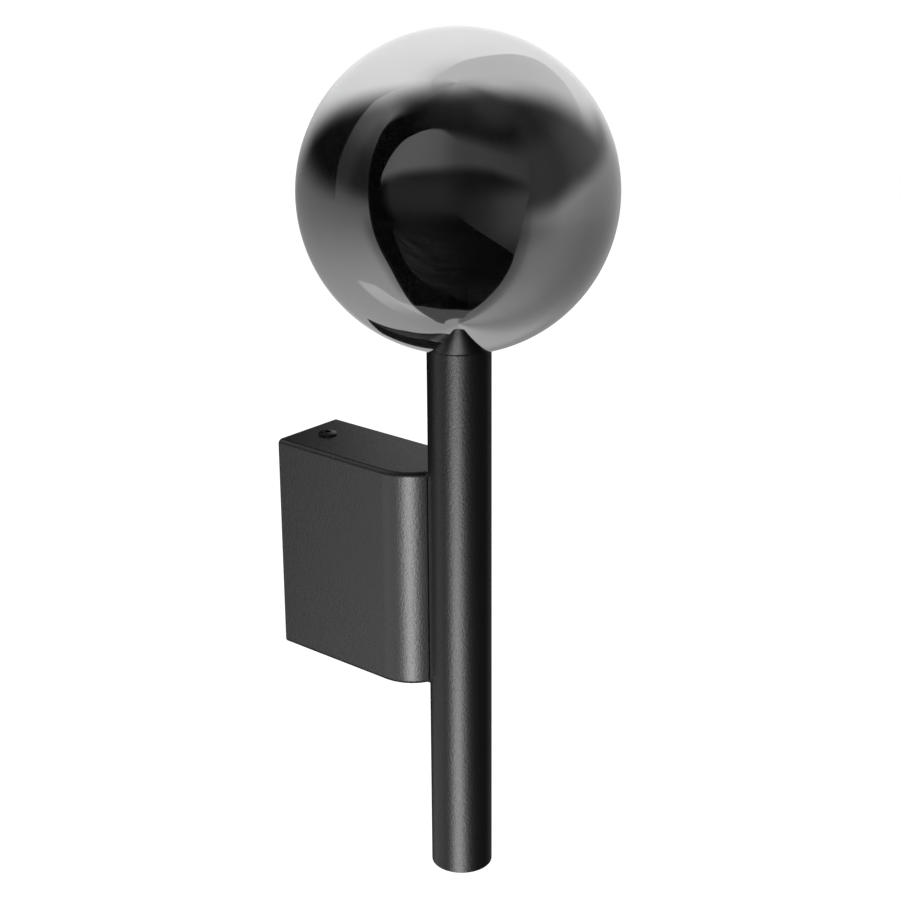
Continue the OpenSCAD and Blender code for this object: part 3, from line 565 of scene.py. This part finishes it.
# Wires: stranded copper in silicone insulation, brown for live, blue for neutral, and green with
# two yellow stripes for earth. They are laid in round bends from the terminals to their ends.
def laid_wire(bm, corners, reaches, radius=1.1, sides=16):
    """Round wire through corner points, each rounded over its reach."""
    corners = [Vector(c) for c in corners]
    line = [corners[0]]
    for before, corner, after, reach in zip(corners, corners[1:], corners[2:], reaches):
        start = corner + (before - corner).normalized() * reach
        end = corner + (after - corner).normalized() * reach
        for i in range(13):
            t = i / 12
            line.append(start * (1 - t) ** 2 + corner * 2 * t * (1 - t) + end * t ** 2)
    line.append(corners[-1])
    stripe = bm.verts.layers.float.get("stripe") or bm.verts.layers.float.new("stripe")
    ways = [(line[min(i + 1, len(line) - 1)] - line[max(i - 1, 0)]).normalized()
            for i in range(len(line))]
    turn = ways[0].to_track_quat("Z", "Y")
    ring = bmesh.ops.create_circle(bm, cap_ends=True, radius=radius, segments=sides,
                                   matrix=Matrix.Translation(line[0]) @ turn.to_matrix().to_4x4())
    for i, vert in enumerate(ring["verts"]):
        vert[stripe] = float(i % (sides // 2) < 3)
    edges = ring["verts"][0].link_faces[0].edges[:]
    for i in range(1, len(line)):
        bend_turn = ways[i - 1].rotation_difference(ways[i])
        grown = bmesh.ops.extrude_edge_only(bm, edges=edges)["geom"]
        verts = [g for g in grown if isinstance(g, bmesh.types.BMVert)]
        edges = [g for g in grown if isinstance(g, bmesh.types.BMEdge)
                 and all(v in verts for v in g.verts)]
        bmesh.ops.rotate(bm, verts=verts, cent=line[i - 1], matrix=bend_turn.to_matrix())
        bmesh.ops.translate(bm, verts=verts, vec=line[i] - line[i - 1])
    bmesh.ops.contextual_create(bm, geom=edges)


def insulation(name, dark, bright, stripe_colour=None):
    jacket = Finish(name)
    cloud = jacket.grain(0.5, 3)
    colour = jacket.tint(cloud, dark, bright)
    if stripe_colour:
        striped = jacket.node("Attribute", {"attribute_name": "stripe"}, out="Fac")
        inside = jacket.node("MapRange", None, {0: striped, 1: 0.4, 2: 0.6})
        colour = jacket.tint(inside, colour, stripe_colour)
    return jacket.surface(colour, 0.42 + 0.14 * cloud, jacket.grain(5, 2), 0.006)


def lamp_wire(sign, pole_x):
    return [(pole_x, -7, 13.5), (pole_x, -7, 26), (2.4 * sign, -50.75, 26), (1.2 * sign, -50.75, 0),
            (1.2 * sign, -84.5, 0), (1.2 * sign, -84.5, 57.25), (4.5 * sign, -83.5, 66.05),
            (4.5 * sign, -83.5, 71.7)]


lamp_bends = (6, 12, 12, 6, 2.2, 2.2)
to_bar = [(9, -7, 13.5), (9, -7, 26), (0, -65.55, 40.76), (0, -65.55, 26.85)]
to_bracket = [(9, -7, 9.5), (9, -7, -2.5), (11, -3.35, -8), (11, -3.35, -15.15)]
for node, slot, routes, jacket in (
        ("live_wire", "brown_wire", [(lamp_wire(-1, -9), lamp_bends)],
         insulation("brown_wire", (0.15, 0.065, 0.028), (0.23, 0.105, 0.048))),
        ("neutral_wire", "blue_wire", [(lamp_wire(1, 0), lamp_bends)],
         insulation("blue_wire", (0.03, 0.12, 0.42), (0.06, 0.18, 0.55))),
        ("earth_wires", "green_yellow_wire", [(to_bar, (6, 5.98)), (to_bracket, (2.2, 2.2))],
         insulation("green_yellow_wire", (0.05, 0.22, 0.04), (0.08, 0.30, 0.06),
                    (0.78, 0.66, 0.03)))):
    bm = bmesh.new()
    for corners, reaches in routes:
        laid_wire(bm, corners, reaches)
    wire = smooth_piece("laid_" + node, bm, jacket, sharp=50)
    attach(wire, "fixture")
    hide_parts(node)

# Sleeve: braided glass fibre drawn over the two wires in the stem, where the bulb makes them hot.
sleeve_in, sleeve_r, sleeve_low, sleeve_top, sleeve_y = 2.75, 3.3, 12, 55.05, -84.5
braid = Finish("glass_fibre")
place = braid.node("TexCoord", out="Object")
across, depth, height = (braid.node("SeparateXYZ", None, {0: place}, out=i) for i in range(3))
round_turn = braid.node("Math", {"operation": "ARCTAN2"}, {0: depth - sleeve_y / 1000, 1: across})
strands, lay = 8, 1.1
round_lay, up_lay = strands * round_turn, height * 1000 / lay * 2
left_lay = braid.node("Math", {"operation": "SINE"}, {0: round_lay + up_lay})
right_lay = braid.node("Math", {"operation": "SINE"}, {0: round_lay - up_lay})
weave = 0.5 + 0.5 * braid.node("Math", {"operation": "MAXIMUM"}, {0: left_lay, 1: right_lay})
braid.surface(braid.tint(weave, (0.60, 0.56, 0.46), (0.84, 0.81, 0.73)), 0.7 + 0.15 * weave,
              weave, 0.12)
bm = bmesh.new()
turned(bm, [(sleeve_in, sleeve_low), (sleeve_r, sleeve_low), (sleeve_r, sleeve_top),
            (sleeve_in, sleeve_top)], 64, [(sleeve_r, z, 0.2) for z in (sleeve_low, sleeve_top)])
fitted(bm, (0, sleeve_y, 0))
sleeve = smooth_piece("braided_sleeve", bm, braid)
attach(sleeve, "fixture")
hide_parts("wire_sleeve")

# Bulb: a clear glass dome on a white moulded base, with a ceramic board of light-emitting chips
# upright in it. Two loops of tinned wire are its pins, and it lifts straight out of the lampholder.
white_moulding = Finish("bulb_plastic")
white_flow = white_moulding.grain(0.2, 3)
white_moulding.surface(white_moulding.tint(white_flow, (0.80, 0.80, 0.79), (0.88, 0.88, 0.87)),
                       0.26 + 0.1 * white_flow, white_moulding.grain(4, 2), 0.005)
board = Finish("board_ceramic")
board_cloud = board.grain(0.4, 3)
tracks = board.grain(0.55, 0, (3, 1, 0.35))
board.surface(board.tint(board_cloud, (0.80, 0.80, 0.78), (0.88, 0.88, 0.86)),
              0.5 + 0.15 * board_cloud, tracks, 0.02)
phosphor = Finish("chip_phosphor")
powder = phosphor.grain(3, 4)
phosphor.surface(phosphor.tint(powder, (0.78, 0.60, 0.16), (0.90, 0.76, 0.32)), 0.35 + 0.2 * powder,
                 powder, 0.015)
clear = Finish("clear_glass")
clear_streak = clear.grain(0.08, 2)
clear.surface(clear.tint(clear_streak, (0.93, 0.94, 0.94), (0.97, 0.975, 0.975)),
              0.02 + 0.03 * clear_streak, clear_streak, 0.02,
              {"Transmission Weight": 1, "IOR": 1.5})

bm = bmesh.new()
bmesh.ops.create_cube(bm, size=1)
bmesh.ops.scale(bm, verts=bm.verts, vec=(14.2, 7.4, 9.7))
uprights = [e for e in bm.edges if abs(e.verts[0].co.z - e.verts[1].co.z) > 1]
round_off(bm, uprights, 2.6)
foot_rim = [e for e in bm.edges if all(v.co.z < -4.8 for v in e.verts)]
round_off(bm, foot_rim, 0.5, 4)
bmesh.ops.translate(bm, verts=bm.verts, vec=(0, 0, 86.15))
shoulder = bmesh.new()
turned(shoulder, [(0, 90.9), (7, 90.9), (7, 93.3), (0, 93.3)], 72,
       [(7, 90.9, 0.8), (7, 93.3, 0.5)])
added(bm, shoulder)
fitted(bm, (0, stem_y, 0))
bulb_base = smooth_piece("bulb_foot", bm, white_moulding)
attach(bulb_base, "bulb")
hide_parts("bulb_base")

bm = bmesh.new()
loop_x = 0.8
for middle in (-pin_x, pin_x):
    laid_wire(bm, [(middle - loop_x, stem_y, 82.2), (middle - loop_x, stem_y, 73.8),
                   (middle + loop_x, stem_y, 73.8), (middle + loop_x, stem_y, 82.2)],
              (0.79, 0.79), 0.5, 12)
bulb_pins = smooth_piece("bulb_loops", bm, tin, sharp=50)
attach(bulb_pins, "bulb")
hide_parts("bulb_pins")
dressed(board, "led_board")
dressed(phosphor, "led_chips")

envelope_low, straight_h, envelope_r, envelope_wall = 93.35, 31, 7, 0.8
bm = bmesh.new()
outline = [(envelope_r - envelope_wall, envelope_low), (envelope_r, envelope_low)]
for radius, turns in ((envelope_r, range(25)), (envelope_r - envelope_wall, range(24, -1, -1))):
    for i in turns:
        a = math.pi / 2 * i / 24
        outline.append((radius * math.cos(a), envelope_low + straight_h + radius * math.sin(a)))
turned(bm, outline, 72)
fitted(bm, (0, stem_y, 0))
envelope = smooth_piece("bulb_dome", bm, clear, sharp=60)
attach(envelope, "bulb")
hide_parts("bulb_envelope")

# Globe: blown glass, smoked grey and thinly metallised, so that it mirrors the room and hides the
# bulb while the lamp is off. Its short neck goes down into the stem's mouth.
smoked = Finish("smoked_glass")
streak = smoked.grain(0.03, 2)
smoked.surface(smoked.tint(streak, (0.50, 0.50, 0.505), (0.56, 0.56, 0.565)), 0.004 * streak,
               smoked.grain(0.02, 1), 0.01,
               {"Metallic": 0.7, "Transmission Weight": 1, "IOR": 1.5})
globe_r, glass, globe_z = 60.5, 1.8, 156.74
neck_r, neck_in, neck_low = 9.5, 8.0, 86.25
bm = bmesh.new()
outline = [(neck_r, neck_low)]
steps = 96
for radius, neck, from_top in ((globe_r, neck_r, False), (globe_r - glass, neck_in, True)):
    low = -math.acos(neck / radius)
    turns = [low + (math.pi / 2 - low) * i / steps for i in range(steps + 1)]
    outline += [(radius * math.cos(a), globe_z + radius * math.sin(a))
                for a in (reversed(turns) if from_top else turns)]
outline.append((neck_in, neck_low))
turned(bm, outline, 128)
fitted(bm, (0, stem_y, 0))
globe = smooth_piece("glass_globe", bm, smoked, sharp=60)
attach(globe, "globe")
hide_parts("globe")

# Collar: a turned and black-anodised ring bonded to the globe's neck. Its thread of 2 mm pitch
# screws into the stem's mouth.
anodised = Finish("black_metal")
anodised_cloud = anodised.grain(0.5, 3)
anodised.surface(anodised.tint(anodised_cloud, (0.02, 0.02, 0.022), (0.04, 0.04, 0.043)),
                 0.3 + 0.12 * anodised_cloud, anodised.grain(2.5, 2, (0.1, 0.1, 1)), 0.006,
                 {"Metallic": 0.6})
collar_low, collar_h, collar_r, collar_in = 85.75, 9.1, 10.95, 9.55
thread_pitch, thread_deep, slices = 2, 0.32, 48
bm = bmesh.new()
ring_wall = [(collar_r, collar_low + collar_h * i / slices) for i in range(slices + 1)]
turned(bm, [(collar_in, collar_low), *ring_wall, (collar_in, collar_low + collar_h)], 96)
for vert in bm.verts:
    reach = math.hypot(vert.co.x, vert.co.y)
    if reach > 10:
        up = vert.co.z - collar_low
        turns = up / thread_pitch - math.atan2(vert.co.y, vert.co.x) / math.tau
        groove = 0.5 - 0.5 * math.cos(math.tau * turns)
        lead = min(1, (collar_h - up) / 1.2, up / 0.6 + 0.35)
        deep = max(groove * lead, 1 - lead if vert.co.z < 88 else 0)
        vert.co.xy *= 1 - thread_deep * deep / reach
fitted(bm, (0, stem_y, 0))
collar = smooth_piece("threaded_collar", bm, anodised)
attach(collar, "globe")
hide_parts("glass_collar")

# Seal: a soft ring of black silicone between the collar and the glass. It rises with the globe but
# doesn't turn with it, and keeps it from shaking loose.
silicone = Finish("black_silicone")
dust = silicone.grain(0.7, 4)
silicone.surface(silicone.tint(dust, (0.014, 0.014, 0.014), (0.032, 0.032, 0.032)),
                 0.5 + 0.2 * dust, silicone.grain(5, 2), 0.01)
seal_in, seal_r, seal_low, seal_top = 9.6, 10.9, 94.9, 96.85
bm = bmesh.new()
turned(bm, [(seal_in, seal_low), (seal_r, seal_low), (seal_r, seal_top), (seal_in, seal_top)], 96,
       [(r, z, 0.4) for r in (seal_in, seal_r) for z in (seal_low, seal_top)])
fitted(bm, (0, stem_y, 0))
seal = smooth_piece("seal", bm, silicone)
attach(seal, "seal")
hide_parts("seal_ring")


# Lamps: large soft boxes. Those named cards show only as gloss on the dark coat, the right lamp
# lights it without gloss, and the soft lamp lights everything but the coat and the globe.
def only_on(lamp, pieces, state="INCLUDE"):
    """Keeps a lamp to some pieces, or off them."""
    group = bpy.data.collections.new(lamp.name + "_on")
    for piece in pieces:
        group.objects.link(piece)
    for entry in group.collection_objects:
        entry.light_linking.link_state = state
    lamp.light_linking.receiver_collection = group


def hang_lamp(name, azimuth, elevation, distance, size, radiance, gloss_only=True,
              aim=(0, -0.07, 0)):
    """A soft box that faces the sconce. Azimuth 0 is straight in front, positive to the right."""
    lamp = bpy.data.objects.new(name, bpy.data.lights.new(name, "AREA"))
    lamp.data.shape = "RECTANGLE"
    lamp.data.size, lamp.data.size_y = size
    lamp.data.energy = 4 * radiance * size[0] * size[1]
    turn, rise = math.radians(azimuth), math.radians(elevation)
    way = Vector((math.sin(turn) * math.cos(rise), -math.cos(turn) * math.cos(rise),
                  math.sin(rise)))
    lamp.location = Vector(aim) + distance * way
    lamp.rotation_euler = way.to_track_quat("Z", "Y").to_euler()
    lamp.visible_camera = False
    lamp.visible_diffuse = not gloss_only
    bpy.context.scene.collection.objects.link(lamp)
    return lamp


coated = [box, stem, end_plug, cover_screws]
box_parts, stem_parts = [box, cover_screws], [stem, end_plug]
left_side, right_side = (-0.0178, -0.0577, 0), (0.0178, -0.0577, 0)
nose_top = (0, -0.07, 0.046)
stem_end = (0, -0.0835, -0.105)
only_on(hang_lamp("box_side_card", -117, -20, 0.45, (0.36, 0.5), 1.4, aim=left_side), box_parts)
only_on(hang_lamp("box_top_card", 117, 20, 0.45, (0.34, 0.34), 0.53, aim=nose_top), box_parts)
only_on(hang_lamp("box_high_card", -160, 45, 1.2, (1.0, 1.0), 0.8), box_parts)
only_on(hang_lamp("nose_card", -55, -21, 1.2, (0.39, 1.2), 15.6), box_parts)
only_on(hang_lamp("stem_side_card", -130, -22, 1.2, (0.6, 1.2), 0.8), stem_parts)
only_on(hang_lamp("stem_rim_card", 88, -22, 1.2, (0.5, 1.0), 0.19), stem_parts)
only_on(hang_lamp("stem_low_card", -166, -30, 0.4, (0.2, 0.2), 0.6, aim=stem_end), stem_parts)
stem_card = hang_lamp("stem_card", -60.5, -34, 1.2, (0.67, 1.1), 7.5)
stem_card.rotation_euler.rotate_axis("Z", math.radians(9))
only_on(stem_card, stem_parts)
soft_lamp = hang_lamp("soft_lamp", -60, 50, 1.3, (1, 1), 2.6, gloss_only=False)
only_on(soft_lamp, [globe] + coated, "EXCLUDE")
only_on(hang_lamp("right_side_card", 117, -36, 0.45, (0.36, 0.38), 1.9, aim=right_side), box_parts)
right_lamp = hang_lamp("right_lamp", 131, -26, 1.3, (1, 0.9), 8, gloss_only=False)
right_lamp.visible_glossy = False
only_on(right_lamp, coated)

# Reflections: painted reflections of a product studio's dark and pale cards, in the greys that the
# globe shows, on one glowing shell round the sconce that only the globe and the bare metal see.
# Its patterns are drawn in degrees round the globe.
globe_centre = (0, -0.0835, 0.15674)
shell_r = 1.6
bm = bmesh.new()
bmesh.ops.create_uvsphere(bm, u_segments=64, v_segments=32, radius=shell_r)
bmesh.ops.translate(bm, verts=bm.verts, vec=globe_centre)
bmesh.ops.reverse_faces(bm, faces=bm.faces)
shell_mesh = bpy.data.meshes.new("studio_shell")
bm.to_mesh(shell_mesh)
shell = bpy.data.objects.new("studio_shell", shell_mesh)
bpy.context.scene.collection.objects.link(shell)
shell.visible_camera = False
shell.visible_diffuse = False
shell.visible_shadow = False
cards = Finish("studio_cards")
cards.material.cycles.emission_sampling = "NONE"
place = cards.node("TexCoord", out="Object")
outward = cards.node("VectorMath", {"operation": "NORMALIZE"}, {0: cards.node(
    "VectorMath", {"operation": "SUBTRACT"}, {0: place, 1: globe_centre})})
across, depth, height = (cards.node("SeparateXYZ", None, {0: outward}, out=i) for i in range(3))
to_degrees = 180 / math.pi
turned_by = math.radians(-49)
ahead = -1 * depth * math.cos(turned_by) + across * math.sin(turned_by)
aside = across * math.cos(turned_by) + depth * math.sin(turned_by)
azimuth = cards.node("Math", {"operation": "ARCTAN2"}, {0: aside, 1: ahead}) * to_degrees
elevation = cards.node("Math", {"operation": "ARCSINE"}, {0: height}) * to_degrees
globe_gloss = 0.4


def ease(value, start, end):
    """0 before start and 1 after end, with a soft change between."""
    settings = {"interpolation_type": "SMOOTHSTEP"}
    return cards.node("MapRange", settings, {0: value, 1: start, 2: end, 3: 0, 4: 1})


def drawn(value, points):
    """Reads a smooth line through (value, result) points."""
    points = sorted(points)
    start, end = points[0][0], points[-1][0]
    low, high = min(p[1] for p in points), max(p[1] for p in points)
    line = [((v - start) / (end - start), (r - low) / (high - low)) for v, r in points]
    share = cards.node("MapRange", None, {0: value, 1: start, 2: end, 3: 0, 4: 1})
    return low + (high - low) * cards.node("FloatCurve", {"line": line}, {1: share})


def over(below, above, share):
    return below + (above - below) * share


# room above the horizon, in greys of 0 to 255 as the globe shows them
left_wall = drawn(elevation, [(0, 52), (6, 42), (12, 39), (24, 46), (32, 56), (40, 68), (52, 84)])
left_wall = left_wall - 13 * ease(azimuth, -86, -74) * ease(elevation, 50, 40)
left_arc = drawn(elevation, [(-8, -92), (6, -94), (12, -95.5), (24, -97.5), (36, -101.5),
                             (46, -106)])
left_room = over(9, left_wall, ease(azimuth - left_arc, -0.8, 0.8))
left_room = left_room + 9 * ease(elevation, 22, 34)
right_room = drawn(azimuth, [(38, 36), (60, 46), (75, 44), (90, 54), (105, 63), (125, 72)])
right_room = right_room - 14 * ease(elevation, 26, 42)
room = over(left_room, right_room, ease(azimuth, -20, 20))
room = over(room, 48, ease(elevation, 50, 66))
# lit floor below it
left_ground = drawn(elevation, [(-80, 130), (-66, 137), (-48, 134), (-36, 126), (-24, 112),
                                (-12, 94), (-4, 84)])
right_ground = drawn(elevation, [(-80, 122), (-56, 108), (-40, 98), (-24, 96), (-12, 106),
                                 (-2, 116)])
right_ground = right_ground + drawn(azimuth, [(40, -30), (48, -14), (58, 8), (72, 8), (90, 3),
                                              (110, -3), (150, 12)])
right_ground = right_ground - 18 * (1 - ease(azimuth, 54, 78)) * ease(elevation, -34, -14)
right_ground = right_ground + 24 * ease(azimuth, 110, 165) * ease(elevation, -36, -50)
left_ground = left_ground + 20 * ease(azimuth, -156, -168) * ease(elevation, -36, -26)
left_ground = left_ground + 12 * ease(azimuth, -138, -160) * ease(elevation, -36, -50)
ground = over(left_ground, right_ground, ease(azimuth, -20, 20))
horizon = 1 + drawn(azimuth, [(0, 0), (30, -3), (45, -5.5), (60, -5), (75, -1.5), (90, 2),
                              (110, 3)])
haze = 8 - 3 * ease(azimuth, 80, 100)
level = over(ground, room, ease(elevation - horizon, haze * -1, haze))

# black card round the camera, and what shows in it
lens_left = drawn(elevation, [(-84, -100), (-82, -95), (-76, -76), (-70, -70), (-64, -65),
                              (-58, -61), (-52, -58.2), (-46, -56.8), (-40, -56.3), (-34, -56.9),
                              (-28, -58.2), (-16, -60.6), (-4, -62.5), (8, -64.5), (20, -67.3),
                              (32, -70), (44, -72.5), (50, -71), (56, -67), (62, -63), (68, -58)])
lens_right = drawn(elevation, [(-84, 18), (-76, 24.5), (-70, 31), (-64, 34.5), (-58, 37), (-52, 39),
                               (-46, 40), (-40, 41), (-28, 41.5), (-16, 43), (-4, 45), (8, 49.5),
                               (20, 52), (32, 55.2), (44, 59.2), (56, 64.8), (66, 72)])
left_blur = 0.5 + 23 * ease(elevation, 42, 72)
right_blur = 0.5 + 13 * ease(elevation, 2, 74)
card = ease(azimuth - lens_left, left_blur * -1, left_blur) * (
    1 - ease(azimuth - lens_right, right_blur * -1, right_blur)) * ease(elevation, -84.3, -83.3)
# painted reflection: a pale shape in the card above the camera, the globe's own inner reflection
patch_left = drawn(elevation, [(-12, -45), (-6, -49), (0, -53), (6, -55), (12, -56), (18, -56.5),
                               (24, -55.5), (30, -54.2), (36, -52), (42, -48.5), (47, -42),
                               (50, -37), (52.5, -30)])
inside_patch = ease(azimuth - patch_left, 0.1, 0.9)
patch_top = drawn(azimuth, [(-57, 18), (-55, 28), (-52, 36), (-47, 43.5), (-39, 49.2), (-31, 52.2),
                            (-23, 53.6), (-15, 53.4), (-4, 51), (10, 49), (20, 46), (30, 42),
                            (45, 36)])
top_blur = drawn(azimuth, [(-50, 0.7), (-25, 1), (-12, 2.5), (5, 7), (30, 9), (50, 10)])
patch_low = drawn(azimuth, [(-57, 13), (-47, 20.5), (-31, 26), (-15, 28.5), (1, 29.5), (17, 28),
                            (33, 22), (41, 18), (50, 13)])
patch = inside_patch * ease(elevation - patch_low, -7, 3) * (
    1 - ease(elevation - patch_top, top_blur * -1, top_blur))
patch_level = drawn(azimuth, [(-55, 78), (-40, 83), (-20, 78), (-8, 67), (5, 57), (20, 56),
                              (50, 50)])
upper = 20 * ease(elevation, 42, 58) * ease(azimuth, -66, -30) + 6 * ease(elevation, 56, 68)
upper = upper + 18 * ease(azimuth, 5, 50)
middle = drawn(elevation, [(-20, 8), (-10, 15), (-4, 23), (2, 31), (12, 33), (20, 27)])
middle = middle - 12 * ease(azimuth, -30, 5) * ease(elevation, 4, -8)
middle = middle * ease(azimuth - patch_left, -1, 9)
# painted reflection: a dim disc below it, with a swirl of faint marks round the camera
to_camera = (-0.7117, -0.6184, 0.3338)
off_axis = to_degrees * cards.node("Math", {"operation": "ARCCOSINE"}, {0: cards.node(
    "VectorMath", {"operation": "DOT_PRODUCT"}, {0: outward, 1: to_camera}, out=1)})
sweep = cards.node("CombineXYZ", None, {0: off_axis * 0.42, 1: aside * 2, 2: height * 1.2})
swirl = cards.node("TexNoise", None, {"Vector": sweep, "Scale": 1.6, "Detail": 5,
                                      "Roughness": 0.65})
disc_low = drawn(azimuth, [(-46, -14), (-43, -28), (-40, -40), (-35, -48), (-30, -52.5), (-22, -57),
                           (-15, -60), (-8, -63), (0, -66), (15, -68.5), (30, -68), (45, -64)])
disc = drawn(azimuth, [(-46, 26), (-30, 25), (-15, 17), (0, 10), (15, 4), (30, 2), (45, 3)])
disc = disc + 9 * ease(elevation, -46, -58) * ease(azimuth, -20, 0)
disc = disc * (0.5 + 0.9 * ease(swirl, 0.3, 0.78)) * ease(elevation - disc_low, -2, 3)
middle = over(2 + disc, middle, ease(elevation, -22, -6))
wedge_low = drawn(azimuth, [(-8, 1.5), (-2, -2), (4, -7.5), (10, -12), (16, -16), (22, -20),
                            (28, -23.6), (34, -27), (44, -33)])
wedge = ease(elevation - wedge_low, -0.4, 0.6) * ease(azimuth, -14, 8)
wedge_level = 17 + drawn(azimuth, [(-8, 8), (0, 9), (15, 16), (30, 32), (45, 40)]) * (
    ease(elevation, 20, 2) * ease(elevation, -44, -8))
dark = over(middle, wedge_level, wedge)
dark = over(dark, upper, ease(elevation, 30, 40))
dark = over(dark, patch_level, patch)
foot = drawn(azimuth, [(-70, -65), (-64, -66.2), (-56, -67.8), (-40, -71.8), (-24, -74), (0, -75),
                       (16, -75.4), (32, -74)])
dark = over(67, dark, ease(elevation - foot, -0.6, 0.4))
card_top = ease(elevation + 6 * ease(azimuth, -50, -80), 62, 88)
beside = ease(azimuth - lens_left, -11, 0) * ease(azimuth, -20, -40) * (
    ease(elevation, -2, -20) * ease(elevation, -66, -50))
level = level - 30 * beside
level = over(level, dark, card * (1 - card_top))
# curved glint left of the card
glint_top = drawn(azimuth, [(-101, -42), (-97, -42.5), (-92, -44.5), (-84, -47.6), (-80, -52),
                            (-76, -60), (-72, -63), (-64, -66)])
glint_turn = ease(azimuth, -103, -97) * (1 - ease(azimuth, -74, -62))
glint = (1 - ease(elevation - glint_top, -1, 1)) * ease(elevation - glint_top, -30, -4) * glint_turn
level = level + 28 * glint * (1 - card)

# pale panel overhead, open to the back and to the right
left_edge = across * 0.665 - depth * 0.057 + height * 0.745
front_edge = across * 0.307 + depth * 0.842 + height * 0.443
panel_edge = cards.node("Math", {"operation": "SMOOTH_MIN"}, {0: left_edge, 1: front_edge, 2: 2.94})
around = azimuth + 360 * cards.node("Math", {"operation": "LESS_THAN"}, {0: azimuth, 1: 0})
panel_low = drawn(around, [(120, 9), (135, 8), (150, 2), (165, -6), (190, -8), (200, -7)])
sag = drawn(around, [(150, 0), (195, 0.03), (212, 0.05), (225, 0.035), (240, 0), (255, -0.015),
                     (270, -0.03), (285, -0.04), (300, -0.02), (330, 0)])
panel = ease(panel_edge + sag, -0.16, 0.16) * ease(elevation - panel_low, -9, 9)
arc_top = drawn(around, [(120, 20), (151, 28), (153.5, 36), (154.5, 48), (160, 60), (168, 66),
                         (184, 72.5), (208, 77), (224, 77), (248, 76), (270, 76)])
inside_arc = ease(elevation - arc_top, -1, 1.5) * ease(around, 95, 120)
panel_level = drawn(elevation, [(0, 174), (8, 182), (16, 189), (24, 196), (32, 203), (44, 209),
                                (60, 209), (70, 200), (80, 180), (90, 171)])
panel_level = over(panel_level, 176, inside_arc)
level = over(level, panel_level, panel * (1 - card * (1 - card_top)))
shine = ((level / 255 + 0.055) / 1.055) ** 2.4 / globe_gloss
shell_mesh.materials.append(cards.put_out(cards.node("Emission", None, {"Color": shine})))
only_on(shell, coated, "EXCLUDE")
